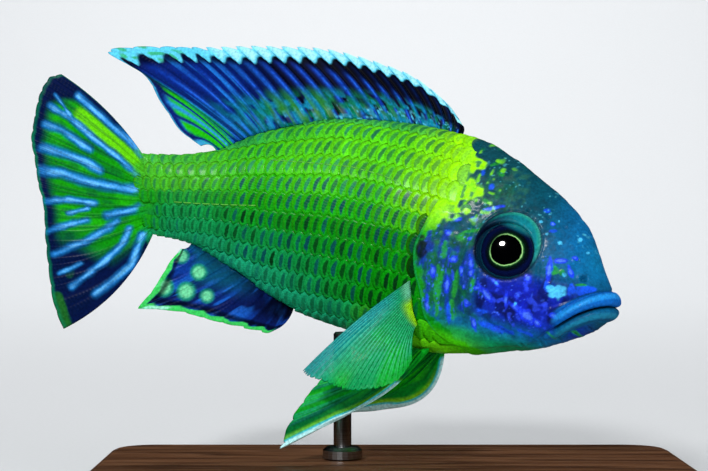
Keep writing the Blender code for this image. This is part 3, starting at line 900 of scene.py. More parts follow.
@dataclass(frozen=True)
class MattePaper:
    """Pale background paper: matt, faintly mottled, so that it only catches soft shadows."""

    name: str = "pale_paper"
    colour: str = "#E2E4E6"
    fibres_per_metre: float = 900.0

    def make(self) -> Material:
        """Build the material.

        Returns:
            The material.
        """
        material, shader, add = new_material(self.name)
        place = add("TexCoord")
        pulp = add("TexNoise", {"Scale": self.fibres_per_metre, "Detail": 2.0},
                   {"Vector": place.outputs["Object"]})
        tone = add("MapRange", {"To Min": 0.96, "To Max": 1.03}, {"Value": pulp})
        shaded = add("HueSaturation", {"Color": (*linear(self.colour), 1.0)}, {"Value": tone})
        feed(shader, {"Roughness": 0.9}, {"Base Color": shaded})
        return material


@dataclass(frozen=True)
class Markings:
    """Where the colours lie on the fish, told in the side view by u and w."""

    green_front: Rows = (
        (-20, 20), (-17, 23), (-14.5, 28), (-12, 32.5), (-8, 36.8), (-2, 38.8), (3, 40.6), (7, 38),
        (9.5, 35), (12, 32.6), (16.2, 31.4), (18.3, 33.4), (21.6, 31.6), (23.8, 35.2), (26.7, 37.8),
        (30, 39),
    )
    # marks: centre u and w, two half sizes and the rise towards the head in degrees
    violet_marks: Rows = (
        (22.8, -1.3, 2, 0.5, -28), (24, -4.1, 2.3, 0.7, -40), (26.2, -3.2, 1, 0.6, 10),
        (20, -4.4, 0.45, 1.6, 6), (18, -5.3, 1.3, 0.7, -35), (15.2, -6.4, 2.4, 1.15, -28),
        (13.2, -7.4, 1.2, 0.7, -30), (28.5, 1.3, 0.5, 1.5, 20), (28, -0.7, 0.5, 0.9, 10),
        (30, -0.7, 0.4, 1, 8), (32.3, 1.3, 0.8, 0.8, 0), (28.9, -3.6, 0.45, 0.7, 0),
        (27.9, -6.4, 0.9, 1, 20), (32.5, -3.9, 0.5, 1.7, 4), (36, -1.7, 0.75, 1.4, 15),
        (25.8, -10.4, 0.6, 1.5, 20), (35.8, -8.9, 0.5, 2, 8), (16.6, 0.9, 0.8, 1, 0),
        (12.9, 3.2, 0.55, 2.4, 8), (11, 5.8, 1.7, 0.55, 12), (9, 4.2, 0.45, 1.4, 35),
        (8.9, 6.9, 0.5, 0.5, 0), (9.8, -5.2, 1.2, 0.55, 6), (33.5, 9.3, 0.95, 0.6, 0),
        (30.1, 10.1, 0.75, 0.5, 0), (41.1, 7.2, 0.5, 0.9, 0), (27.2, 13.1, 2.7, 0.38, 24),
        (29.9, 6.2, 0.5, 0.5, 0), (15, 12.6, 0.5, 0.4, 0), (34.6, 6.3, 0.6, 0.5, 0),
    )
    azure_marks: Rows = (
        (20.6, -10.3, 4.2, 0.75, -4), (5.3, 1.1, 2.2, 0.85, 22), (7.8, 0.6, 0.6, 1.1, 0),
        (12.6, 0.2, 0.5, 1.4, 10), (24.6, -7.6, 1.1, 0.4, 0), (16, -9.8, 2, 0.5, -6),
        (16.9, 14.9, 0.6, 0.5, 0), (14.4, 11.2, 1, 0.4, 20), (31.2, -9.6, 0.5, 2, 10),
        (29, 17.4, 0.6, 0.8, 0), (31.6, 20, 0.5, 0.9, 0),
    )
    cyan_marks: Rows = (
        (10.4, -0.7, 1.5, 1.2, 35), (11.7, -0.2, 0.8, 0.8, 0), (9.9, 3.1, 0.42, 0.4, 0),
        (17.3, 12.4, 0.28, 0.28, 0), (16.2, 14.4, 0.22, 0.22, 0), (14.1, 13.4, 0.2, 0.2, 0),
        (15.4, 10.4, 0.24, 0.24, 0), (12.4, 9.2, 0.35, 0.35, 0), (9.2, 10.6, 0.4, 0.4, 0),
        (7, 8.4, 0.24, 0.24, 0), (18, -4.7, 0.3, 0.5, 0), (22.6, -1.4, 0.5, 0.2, -28),
        (19.2, 8.9, 0.25, 0.9, -20),
    )
    green_marks: Rows = (
        (12, 3.5, 1, 0.8, 0), (10.4, 3.6, 0.6, 0.6, 0), (6.2, 1.9, 1, 0.3, 8), (30.8, -3.9, 0.45, 3, 4),
        (27.3, -3, 0.45, 1.5, 4), (6.2, -7.7, 0.9, 0.4, -20), (10, -9.4, 1.2, 0.4, -20),
        (34.3, -4, 0.8, 5, 4), (32, 6, 0.9, 0.9, 0), (33.9, -7.4, 0.5, 3, 6),
        (30.2, 7.7, 1.8, 0.35, 20), (38, -5.2, 0.8, 3.6, 8), (30.6, -8.6, 0.7, 2.2, 14),
        (34.6, 2.6, 0.7, 2.2, 10), (16.3, 7.6, 0.6, 1.8, 10), (29, 14.2, 0.9, 0.5, 0),
        (28.2, 20.3, 0.7, 0.5, 0), (30, 22.2, 0.9, 0.4, 30),
    )

    def flank(self, u: Array, w: Array) -> Array:
        """Ground colour of the flank and the nape, with painted light on the tail root and underside.

        Args:
            u: Distance from the snout.
            w: Level.

        Returns:
            One linear colour for each point.
        """
        share = FORM.share_up(u, w)
        patchy = speckle(u, w, 3.4, 21)
        return painted(
            "#048E08",
            ("#1CAE0C", smooth(0.46, 0.62, share)),
            ("#58D814", smooth(0.58, 0.8, share) * smooth(96, 60, u)),
            ("#90EC0C", smooth(54, 38, u) * smooth(0.5, 0.68, share)),
            ("#9CF808", smooth(44, 36, u) * smooth(0.52, 0.66, share)),
            ("#0A8C50", 0.85 * smooth(0.46, 0.16, share) * smooth(52, 74, u)),
            # painted light: a paler teal strip along the underside, as if lit from below
            ("#18A87C", 0.8 * smooth(0.2, 0.02, share) * smooth(46, 60, u)),
            ("#0C8A4A", 0.7 * smooth(82, 98, u) * smooth(0.7, 0.35, share)),
            # painted light: the top of the tail root made lighter and yellower, as if lit from above
            ("#4CB428", 0.7 * smooth(80, 96, u) * smooth(0.45, 0.7, share)),
            ("#2E9E5E", 0.5 * smooth(0.93, 1, share) * smooth(40, 50, u)),
            ("#129814", smooth(100, 105, u - 0.2 * np.abs(w)) * smooth(4, 1, w)),
            ("#58CC1C", 0.2 * smooth(0.5, 0.9, patchy) * smooth(0.45, 0.6, share)),
            ("#067A34", 0.35 * smooth(0.35, 0.12, patchy) * smooth(0.55, 0.35, share)),
        )

    def scale_mark(self, u: Array, w: Array) -> tuple[Array, Array]:
        """Colour and strength of the dark mark on the scales.

        Args:
            u: Distance from the snout.
            w: Level.

        Returns:
            One linear colour, and one strength from 0 to 1, for each point.
        """
        share = FORM.share_up(u, w)
        tone = painted(
            "#013412",
            ("#04503C", smooth(0.4, 0.62, share)),
            ("#024858", 0.8 * smooth(0.45, 0.8, speckle(u, w, 2.6, 5))),
            ("#14806C", 0.75 * smooth(0.62, 0.85, speckle(u, w, 2.2, 8)) * smooth(0.5, 0.7, share)
             * smooth(48, 64, u)),
        )
        strength = 0.75 + 0.25 * speckle(u, w, 1.7, 14) - 0.2 * smooth(0.6, 0.78, share)
        strength *= 1.0 - 0.75 * smooth(46, 38, u) * smooth(0.5, 0.62, share)
        low = 0.45 * smooth(0.16, 0.04, share) + 0.5 * smooth(0.24, 0.12, share) * smooth(54, 44, u)
        strength *= 1.0 - low
        strength *= 1.0 - 0.25 * smooth(80, 96, u) - 0.5 * smooth(103, 108, u)
        return tone, strength

    def skin(self, u: Array, w: Array) -> Array:
        """Colours of the whole skin, with the marks of the head and painted light and shade.

        Args:
            u: Distance from the snout.
            w: Level.

        Returns:
            One linear colour for each point.
        """
        ragged = 2.6 * (speckle(u, w, 1.1, 1) - 0.5) + 2.4 * (speckle(u, w, 2.6, 2) - 0.5)
        murk = smooth(0.5, 0.78, speckle(u, w, 2.1, 92)) * smooth(5, 9, u) * smooth(4, 1, w)
        olive = speckle(u, w, 0.9, 31)
        head = painted(
            "#054A5C",
            ("#06629A", smooth(20, 8, u) * smooth(-2, 6, w)),
            ("#0878A4", 0.75 * smooth(9.5, 4, u) * smooth(2, 8, w)),
            ("#0A4450", smooth(20, 28, u) * smooth(9, 14, w)),
            ("#0A2E9C", smooth(3.2, -1.5, w) * smooth(30, 24, u) * smooth(1, 7, u)),
            ("#0818A8", 0.9 * hump(np.hypot((u - 17.0) / 10.5, (w + 3.5) / 5.6), 0, 1)),
            ("#03104C", 0.8 * murk * smooth(-11, -8, w)),
            ("#074C50", smooth(25, 30, u) * smooth(9, 4, w)),
            ("#0A6A2C", 0.8 * smooth(26, 32, u) * smooth(0.4, 0.7, speckle(u, 0.45 * w, 1.3, 93))
             * smooth(11, 6, w)),
            ("#08309C", 0.8 * smooth(25, 29, u) * smooth(0.5, 0.75, speckle(u, 0.4 * w, 1.1, 94))
             * smooth(9, 5, w)),
            ("#087098", 0.8 * smooth(-7.5, -11.5, w)),
            ("#0A9058", smooth(-10.5, -14, w) * smooth(8, 16, u)),
            ("#1FA83A", 0.8 * smooth(0.6, 0, np.abs(w + 12.8) / 3.0) * smooth(22, 30, u)),
            ("#1E5850", in_blob(u, w, (26, 18, 4.4, 4.4, 20)) * smooth(0.2, 0.7, olive)),
            ("#304E50", 0.7 * in_blob(u, w, (26.6, 18.6, 3, 2.6, 0), 8) * smooth(0.5, 0.9, olive)),
            ("#0E6E40", 0.55 * smooth(0.55, 0.85, speckle(u, w, 1.3, 41)) * smooth(22, 28, u)),
        )
        for marks, tone, seed in ((self.green_marks, "#1E9430", 4), (self.azure_marks, "#1250E8", 5),
                                  (self.violet_marks, "#1838F4", 6), (self.cyan_marks, "#4CC4F4", 7)):
            for number, blob in enumerate(marks):
                mask = in_blob(u, w, blob, seed + number) * (0.65 + 0.35 * speckle(u, w, 0.45, seed))
                head = blended(head, tone, mask)
                if marks is self.violet_marks:
                    core = (blob[0], blob[1], 0.55 * blob[2], 0.5 * blob[3], blob[4])
                    head = blended(head, "#5080FF", 0.8 * in_blob(u, w, core, seed + number))
        dots = smooth(0.8, 0.92, speckle(u, w, 0.42, 51)) * smooth(0.35, 0.6, speckle(u, w, 2.4, 52))
        upright = speckle(2.3 * u - 0.3 * w, 0.8 * w, 1, 97) * smooth(23, 26, u)
        upright *= 1.0 - 0.1 * smooth(28, 31, u)
        slanting = speckle(1.3 * u - 1.1 * w, u + w, 1.5, 98) * smooth(25, 22, u)
        slanting *= smooth(9, 12, u)
        strokes = smooth(0.7, 0.82, np.maximum(upright, slanting)) * smooth(-12, -9.5, w)
        strokes *= smooth(5.5, 3, w + 0.35 * (26.0 - u).clip(0.0))
        strokes *= smooth(0.15, 0.5, speckle(u, w, 0.7, 99))
        head = painted(
            head,
            ("#3C6CFF", 0.8 * dots * smooth(-11, -9, w) * smooth(12, 4, w) * smooth(10, 15, u)),
            ("#2848F0", 0.7 * strokes),
            ("#58C8D8", 0.5 * dots * smooth(6, 10, w)),
        )
        grain = 0.72 + 0.36 * speckle(u, w, 1.5, 95) + 0.24 * speckle(u, w, 0.4, 96)
        head = head * grain[:, None]
        front = curve(self.green_front, w)
        body = self.flank(u, w)
        freckle = smooth(0.55, 0.7, speckle(u, w, 0.95, 61)) * smooth(38, 33, u) * smooth(5, 9, w)
        body = blended(body, "#0C6C58", 0.85 * freckle)
        tone = blended(head, body, smooth(-0.5, 0.5, u - front + ragged))
        strewn = smooth(0.66, 0.8, speckle(u, w, 1, 71)) * hump(u - front, -1, 5.5)
        strewn *= smooth(5, 9, w)
        turns = np.linspace(64.0, 156.0, 24)
        edge = FORM.point(FORM.gill_line(turns), turns)
        behind = u - np.interp(-w, -edge[:, 2], edge[:, 0])
        flap = smooth(10, 6, w) * smooth(edge[-1, 2] - 0.5, edge[-1, 2] + 1.0, w)
        tone = painted(
            tone,
            ("#74DC10", 0.9 * strewn),
            ("#04101C", 0.9 * in_blob(u, w, (39.6, 2.2, 1.3, 2.3, 6), 12)),
            # painted shade in the groove behind the gill cover's free edge
            ("#011808", 0.85 * flap * hump(behind, 0.55, 0.65)),
            ("#18A468", 0.35 * flap * hump(behind, -0.35, 0.4)),
            ("#48D00C", 0.95 * smooth(20, 30, u) * smooth(-12.6, -14.8, w - 0.1 * (u - 30.0))
             * smooth(56, 44, u)),
            ("#7CF018", 0.7 * smooth(26, 34, u) * smooth(-15.4, -17, w) * smooth(50, 44, u)),
        )
        return self.lips(u, w, self.round_eye(u, w, tone))

    def round_eye(self, u: Array, w: Array, tone: Array) -> Array:
        """Lay the eyelids' colours over the skin, with painted highlights and painted shade in the
        crease.

        Args:
            u: Distance from the snout.
            w: Level.
            tone: The colours underneath.

        Returns:
            One linear colour for each point.
        """
        reach, rim, turn = FORM.lid(u, w)
        ahead = np.cos(turn - math.radians(62.0))
        up = smooth(-0.1, 0.7, ahead)
        inside = smooth(rim + 0.03, rim - 0.05, reach)
        # painted highlights: a soft glint and a thin light line near the upper front of the lid
        glint = bell(reach - rim + 0.1, 0.05) * smooth(0.2, 0.9, ahead)
        fine = bell(reach - rim + 0.045, 0.018)
        fine *= smooth(0.3, 0.9, np.cos(turn - math.radians(50.0)))
        return painted(
            tone,
            ("#010E28", inside),
            ("#043248", inside * up),
            ("#0A8490", 0.9 * up * inside * smooth(-0.6, 0.4, np.cos(turn))),
            ("#1F9C88", 0.8 * glint),
            ("#5CC8A8", 0.6 * fine),
            ("#020A26", smooth(0.99, 0.93, reach) * (1.0 - 0.8 * up)),
            # painted shade in the crease round the lid's outer edge
            ("#021A34", 0.7 * bell(reach - rim, 0.03)),
        )

    def lips(self, u: Array, w: Array, tone: Array) -> Array:
        """Lay the lips' colours over the skin, with painted highlights and painted shade in the slit and
        fold.

        Args:
            u: Distance from the snout.
            w: Level.
            tone: The colours underneath.

        Returns:
            One linear colour for each point.
        """
        mouth = w - FORM.mouth_level(u)
        fade = smooth(11, 9, u)
        upper = smooth(-0.1, 0.3, mouth) * smooth(3.9, 3.2, mouth - 0.06 * u) * fade
        lower = smooth(0.1, -0.3, mouth) * smooth(-3.2, -2.4, mouth) * fade
        return painted(
            tone,
            ("#0660B8", upper),
            # painted highlight along the crest of the upper lip
            ("#28A0F0", 0.65 * upper * hump(mouth, 2.2, 0.8)),
            ("#085C88", lower),
            # painted highlight along the crest of the lower lip
            ("#2090B0", 0.5 * lower * hump(mouth, -1.3, 0.6)),
            # painted shade in the slit of the mouth
            ("#01141A", bell(mouth, 0.26) * smooth(10.2, 9.2, u)),
            # painted shade in the fold above the upper lip
            ("#03283C", 0.6 * bell(mouth - 3.5 - 0.06 * u, 0.22) * fade),
        )


MARKINGS = Markings()


@dataclass(frozen=True)
class Skin:
    """One closed skin over head and body, a scale's depth inside the solids where scales lie."""

    round_count: int = 372
    evened_at: float = 22.0
    head_step: float = 0.3
    body_step: float = 1.05
    head_to: float = 46.0
    easing: float = 12.0
    steep_to: float = 40.0
    pole_rings: int = 4
    snout_level: float = -1.0
    gill_reach: float = 41.3
    scale_depth: float = 0.26
    lip_upper: tuple[float, float] = (1.75, 1.2)
    lip_lower: tuple[float, float] = (1.15, 0.95)
    corner: float = 9.8
    nostril: tuple[float, float] = (6.2, 3.2)
    nostril_rim: float = 0.85
    socket_depth: float = 3.4
    # folds of the skin: points of the line, width and depth
    folds: tuple[tuple[Rows, float, float], ...] = (
        (((27.6, 7.5), (27.2, 0), (26.2, -6), (23.4, -9.6), (18, -11.4)), 0.5, 0.3),
        (((30.2, 8.6), (30.6, 2), (30, -5), (28, -11)), 0.4, 0.2),
        (((29.5, -9), (33, -11.4), (37.5, -12.6)), 0.35, 0.25),
        (((15.2, 4), (14.2, -1.6), (11.2, -3.6), (7.6, -1.4)), 0.4, 0.22),
        (((9.4, -7.4), (11.4, -9.2), (12.8, -10.8)), 0.4, 0.4),
        (((2.6, -4.9), (6, -7.2), (10, -9.9), (15, -12.2)), 0.35, 0.22),
        (((16, -12.9), (22, -14.6), (28, -15.7), (33, -16)), 0.3, 0.22),
        (((18, -13.9), (24, -15.5), (30, -16.6)), 0.3, 0.18),
        (((11, 15), (14.5, 12.6), (16.5, 9)), 0.6, 0.12),
    )
    # pores of the sense canals: centre and size
    pores: Rows = (
        (9.9, 3.1, 0.42), (8.4, 6.6, 0.32), (12, 0.2, 0.35), (14.4, 0.4, 0.35), (3.6, -6.2, 0.28),
        (6.2, -7.9, 0.3), (9.2, -9.7, 0.3), (12.6, -11.4, 0.3), (16.4, -12.4, 0.3), (20.4, -11.4, 0.3),
        (24.4, -8.9, 0.3), (26.9, -3, 0.3), (27.6, 3.4, 0.3), (12.6, 12.4, 0.28), (16.2, 13.6, 0.28),
        (20.4, 14.2, 0.28),
    )

    def stations(self) -> Array:
        """Distances from the snout of the rings, close together on the steep snout.

        Returns:
            The distances, from the snout to past the root of the tail.
        """
        fine = np.linspace(FORM.stations[0][0], FORM.tail_end + FORM.thins[1], 4000)
        steps = np.diff(fine)
        rise = np.diff(curve(FORM.stations, fine))
        size = np.where(fine[1:] < self.head_to, self.head_step,
                        self.head_step + (self.body_step - self.head_step)
                        * smooth(self.head_to, self.head_to + self.easing, fine[1:]))
        rise *= fine[1:] < self.steep_to
        along = running(np.hypot(steps, rise) / size)
        return np.interp(np.linspace(0.0, along[-1], int(along[-1]) + 1), along, fine)

    def angles(self) -> Array:
        """Angles of the skin's columns, evenly spread round a section of the cheek.

        Returns:
            The angles in degrees, from 0 to 360.
        """
        fine = np.linspace(0.0, 360.0, 3601)
        along = FORM.girth(self.evened_at, fine)
        return np.interp(np.linspace(0.0, along[-1], self.round_count + 1), along, fine)

    def place(self, row: Array, column: Array, rows: Array, angles: Array) -> tuple[Array, Array]:
        """Straight position and angle of every vertex of the grid.

        Args:
            row: Ring number, with a pole and small rings before the first station and a
                pole after the last.
            column: Column number.
            rows: The stations.
            angles: The columns' angles.

        Returns:
            One row of u, v and w for each vertex, and its angle.
        """
        number = np.clip(row - self.pole_rings, 0, len(rows) - 1)
        angle = angles[column]
        base = rows[number]
        follow = smooth(14, self.gill_reach, base) * smooth(62, 42, base)
        u = base + (FORM.gill_line(angle) - self.gill_reach) * follow
        points = FORM.point(u, angle)
        FORM.finish_tail(points, base, 0.86)
        share = np.clip(row / self.pole_rings, 0.0, 1.0)
        points[:, 1] *= share
        points[:, 2] = self.snout_level + (points[:, 2] - self.snout_level) * share
        points[:, 0] -= 0.35 * (1.0 - share**2)
        last = row >= len(rows) + self.pole_rings
        points[last] = points[last].mean(axis=0) if last.any() else 0.0
        return points, angle

    def relief(self, points: Array, angle: Array) -> Array:
        """Height of the skin over the plain outline: lips, lids, nostrils, pores and folds.

        Args:
            points: Straight positions.
            angle: Angle of every point.

        Returns:
            One height in millimetres for each point.
        """
        u, _, w = points.T
        turned = np.where(angle > 180.0, 360.0 - angle, angle)
        behind = u - FORM.gill_line(angle)
        flap = smooth(60, 70, turned) * smooth(172, 156, turned)
        scaled = np.maximum(smooth(0.1, 0.5, behind), smooth(33, 36, u) * smooth(66, 60, turned))
        height = -self.scale_depth * scaled
        height += 0.5 * flap * smooth(-9, -1, behind) * smooth(0.25, -0.15, behind)
        height -= 0.35 * flap * bell(behind - 0.7, 0.5)
        height += self.mouth(u, w) + self.eye_rim(u, w)
        nostril = np.hypot(u - self.nostril[0], w - self.nostril[1])
        height += 0.22 * bell(nostril - self.nostril_rim, 0.3) - 0.95 * bell(nostril, 0.55)
        for line, width, depth in self.folds:
            height -= depth * bell(near_line(u, w, line), width)
        for cu, cw, size in self.pores:
            reach = np.hypot(u - cu, w - cw)
            height += 0.1 * bell(reach - 1.6 * size, size)
            height -= 0.4 * bell(reach, size)
        soft = 0.16 * (speckle(u, w, 2.4, 81) - 0.5) + 0.1 * (speckle(u, w, 0.8, 82) - 0.5)
        return height + soft * smooth(2, 8, u) * (1.0 - scaled)

    def mouth(self, u: Array, w: Array) -> Array:
        """Height of the lips and depth of the slit between them.

        Args:
            u: Distance from the snout.
            w: Level.

        Returns:
            One height in millimetres for each point.
        """
        line = w - FORM.mouth_level(u)
        share = np.clip(u / self.corner, 0.0, 1.0)
        fade = smooth(self.corner + 1.2, self.corner - 1.6, u)
        height = np.zeros(len(u))
        for sign, sizes, rise in ((1.0, self.lip_upper, 0.85), (-1.0, self.lip_lower, 0.7)):
            tall = sizes[0] + (sizes[1] - sizes[0]) * share**0.7
            height += rise * fade * hump(sign * line, tall + 0.15, tall * 1.08)
        height -= 1.0 * fade * bell(line, 0.34)
        fold = self.lip_upper[0] * 2.1 + 0.3 - 1.2 * share
        return height - 0.3 * fade * bell(line - fold, 0.4) * smooth(0.5, 2, u)

    def eye_rim(self, u: Array, w: Array) -> Array:
        """Height of the lids and depth of the socket that the eye sits in.

        Args:
            u: Distance from the snout.
            w: Level.

        Returns:
            One height in millimetres for each point.
        """
        reach, rim, turn = FORM.lid(u, w)
        top = smooth(-0.3, 0.8, np.sin(turn))
        share = np.clip((reach - 0.86) / (rim - 0.86), 0.0, 1.0)
        lid = (0.3 + 0.75 * top) * smooth(0, 0.2, share) * (1.0 - share**2.2)
        lid -= 0.2 * bell(reach - rim, 0.045)
        socket = smooth(0.945, 0.85, reach)
        return lid * (1.0 - socket) - self.socket_depth * socket

    def build(self) -> Object:
        """Make the skin, paint it and put it in the pose.

        Returns:
            The skin.
        """
        rows, angles = self.stations(), self.angles()
        count = len(rows) + self.pole_rings + 1
        shape = bmesh.new()
        bmesh.ops.create_grid(shape, x_segments=count - 1, y_segments=self.round_count, size=0.5)
        mesh = mesh_of(shape, "skin")
        flat = points_of(mesh)
        row = np.rint((flat[:, 0] + 0.5) * (count - 1)).astype(int)
        column = np.rint((flat[:, 1] + 0.5) * self.round_count).astype(int)
        points, angle = self.place(row, column, rows, angles)
        set_points(mesh, points)
        keep(mesh, "height", self.relief(points, angle))
        closed(mesh)
        points = points_of(mesh)
        height, normals = (np.empty(len(points) * size, np.float32) for size in (1, 3))
        mesh.attributes["height"].data.foreach_get("value", height)
        mesh.attributes.remove(mesh.attributes["height"])
        keep(mesh, "fish", points)
        keep(mesh, "paint", MARKINGS.skin(points[:, 0], points[:, 2]))
        mesh.vertex_normals.foreach_get("vector", normals)
        set_points(mesh, POSE.place(points + normals.reshape(-1, 3) * height[:, None]))
        closed(mesh, 1e-7)
        finish = WetSkin("slimed_fish_skin").make()
        return show(mesh, finish, ("head", "lower_jaw", "gill_cover_right",
                                                 "gill_cover_left", "torso", "tail"))


@dataclass(frozen=True)
class ScaleCoat:
    """Overlapping scales on one side, in rows along the body, smaller towards the tail."""

    side: float
    first: float = 34.6
    last: float = 107.4
    pitch: float = 2.15
    length: float = 4.7
    height: float = 5.3
    row_pitch: Rows = ((30, 4.3), (65, 4.35), (79, 3.9), (90, 3.3), (108, 2.7))
    row_shift: Rows = ((34, -1.5), (48, -0.8), (64, 0.5), (79, 2.4), (108, 3.4))
    lift: tuple[float, float] = (-0.3, 0.13)
    droop: float = 0.13
    thickness: float = 0.08
    rounding: float = 0.34
    squareness: float = 2.6
    root_narrowing: float = 0.25
    full_pitch: float = 4.4
    rows_out: int = 9
    steps: tuple[float, ...] = (0.0, 0.5, 0.78, 1.0)
    strips: int = 7
    # the coat's own map: millimetres along and round the fish in one unit, where its mid side
    # lies, and half a patch
    map_scale: tuple[float, float] = (150.0, 140.0)
    map_middle: float = 0.245
    patch: float = 0.0015

    @cache
    def arcs(self) -> tuple[Array, Array, Array]:
        """Length round the section from the mid side, for a table of stations and angles.

        Returns:
            The stations, the angles, and one row of lengths for each station.
        """
        stations = np.arange(20.0, 125.0, 1.0)
        angles = np.linspace(0.0, 180.0, 181)
        table = []
        for u in stations:
            along = FORM.girth(u, angles)
            table.append(along - np.interp(90.0, angles, along))
        return stations, angles, np.array(table)

    def to_angle(self, u: Array, arc: Array) -> Array:
        """Angle at a length round the section, down from the mid side.

        Args:
            u: Distance from the snout.
            arc: Length round the section from the mid side.

        Returns:
            One angle in degrees for each place.
        """
        stations, angles, table = self.arcs()
        low = np.clip(np.floor(u - stations[0]).astype(int), 0, len(stations) - 2)
        share = np.clip(u - stations[0] - low, 0.0, 1.0)
        angle = np.empty(len(u))
        for i in np.unique(low):
            here = low == i
            first = np.interp(arc[here], table[i], angles)
            second = np.interp(arc[here], table[i + 1], angles)
            angle[here] = first + (second - first) * share[here]
        return angle

    def seats(self) -> Array:
        """Every scale's place, row by row from the front.

        Returns:
            For each scale its rear edge, its length round the section from the mid side and
            its size.
        """
        stations, _, table = self.arcs()
        seats = []
        u = self.first
        while u < self.last + 3.0:
            i = int(np.clip(round(float(u - stations[0])), 0, len(stations) - 1))
            low, high = table[i][0], table[i][-1]
            step = float(curve(self.row_pitch, u))
            for row in range(-self.rows_out, self.rows_out + 1):
                arc = row * step + float(curve(self.row_shift, u))
                rear = u + 0.5 * self.pitch * (row % 2)
                # the rows end at uneven places on a round edge
                end = self.last - 1.4 + 3.6 * ((row * 0.618) % 1.0) - 1.4 * (arc / 7.5) ** 2
                if not low - 0.1 * step < arc < high - 0.2 * step or rear > end:
                    continue
                angle = float(self.to_angle(np.array([rear]), np.array([arc]))[0])
                edge = float(FORM.gill_line(np.array([angle]))[0])
                nape = angle < 62.0 and rear > self.first + 1.5
                if rear > edge + 1.4 or nape:
                    seats.append((rear, arc, step / self.full_pitch))
            u += self.pitch * (1.0 if u < 80.0 else 0.93)
        return np.array(seats)

    def template(self, count: int) -> Mesh:
        """Many like closed plates in a row along x.

        Args:
            count: How many plates are needed.

        Returns:
            A mesh whose vertices hold share along, share across and side of a plate.
        """
        shape = bmesh.new()
        bmesh.ops.create_grid(shape, x_segments=len(self.steps) - 1, y_segments=self.strips, size=0.5)
        under = bmesh.ops.duplicate(shape, geom=shape.verts[:] + shape.edges[:] + shape.faces[:])
        lower = [g for g in under["geom"] if isinstance(g, bmesh.types.BMVert)]
        bmesh.ops.translate(shape, verts=lower, vec=(0.0, 0.0, -1.0))
        rims = [e for e in shape.edges if e.is_boundary]
        bmesh.ops.bridge_loops(shape, edges=rims)
        bmesh.ops.recalc_face_normals(shape, faces=shape.faces[:])
        made = 1
        while made < count:
            more = bmesh.ops.duplicate(shape, geom=shape.verts[:] + shape.edges[:] + shape.faces[:])
            fresh = [g for g in more["geom"] if isinstance(g, bmesh.types.BMVert)]
            bmesh.ops.translate(shape, verts=fresh, vec=(APART * made, 0.0, 0.0))
            made *= 2
        extra = [v for v in shape.verts if v.co.x > APART * (count - 0.5)]
        bmesh.ops.delete(shape, geom=extra, context="VERTS")
        return mesh_of(shape, sided("scales", self.side))

    def build(self, finish: Material) -> Object:
        """Lay the coat over the skin.

        Args:
            finish: Material of the scales.

        Returns:
            The coat of one side.
        """
        seats = self.seats()
        mesh = self.template(len(seats))
        flat = points_of(mesh)
        number = np.rint(flat[:, 0] / APART).astype(int)
        step = np.rint((flat[:, 0] - APART * number + 0.5) * (len(self.steps) - 1)).astype(int)
        a = np.array(self.steps)[step]
        b = 2.0 * flat[:, 1]
        under = flat[:, 2] < -0.5
        rear, arc_at, size = seats[number].T
        draw = speckle(rear * 3.1, arc_at * 2.3, 1, 90)
        back = a * (1.0 - self.rounding * np.abs(b) ** self.squareness * a)
        u = rear - self.length * size * (1.0 - back) * (0.97 + 0.06 * draw)
        arc = arc_at + 0.5 * self.height * size * b * (1.0 - self.root_narrowing * (1.0 - a) ** 2)
        angle = self.to_angle(u, arc)
        lift = self.lift[0] + (self.lift[1] - self.lift[0]) * a + 0.06 * a * (draw - 0.5)
        lift -= self.droop * np.abs(b) ** 2 * (0.4 + 0.6 * a)
        lift -= 0.12 * a * (smooth(44, 36, rear) + smooth(84, 98, rear))
        lift -= self.thickness * under
        points = FORM.point(u, angle, lift)
        FORM.finish_tail(points, u, 0.84)
        points[:, 1] *= self.side
        keep(mesh, "fish", points)
        middle = FORM.point(rear - 0.22 * self.length * size, self.to_angle(rear, arc_at))
        tone = MARKINGS.skin(middle[:, 0], middle[:, 2])
        share = FORM.share_up(rear, middle[:, 2])
        mark, strength = MARKINGS.scale_mark(rear, middle[:, 2])
        own = speckle(rear * 5.7, arc_at * 4.1, 1, 91)
        tone *= (0.82 + 0.36 * own)[:, None]
        strength *= 0.8 + 0.35 * draw
        keep(mesh, "paint", tone)
        keep(mesh, "paint_mark", mark)
        bright = tone + (linear("#A0F020") - tone) * (0.1 * smooth(0.25, 0.7, share))[:, None]
        keep(mesh, "paint_edge", bright)
        lean = -0.13 * smooth(0.35, 0.8, share) - 0.02
        keep(mesh, "facts", np.column_stack([strength, lean, 0.71 + 0.03 * (draw - 0.5)]))
        keep_map(mesh, "Plate", np.column_stack([a, b]))
        along, around = self.map_scale
        level = 0.5 + self.side * (self.map_middle + arc_at / around)
        root = np.column_stack([rear / along, level])
        keep_map(mesh, "OFBake", root + self.patch * np.column_stack([2.0 * a - 1.0, b]))
        mesh.uv_layers["Plate"].active_render = True
        set_points(mesh, POSE.place(points))
        closed(mesh, merge=0.0)
        return show(mesh, finish)


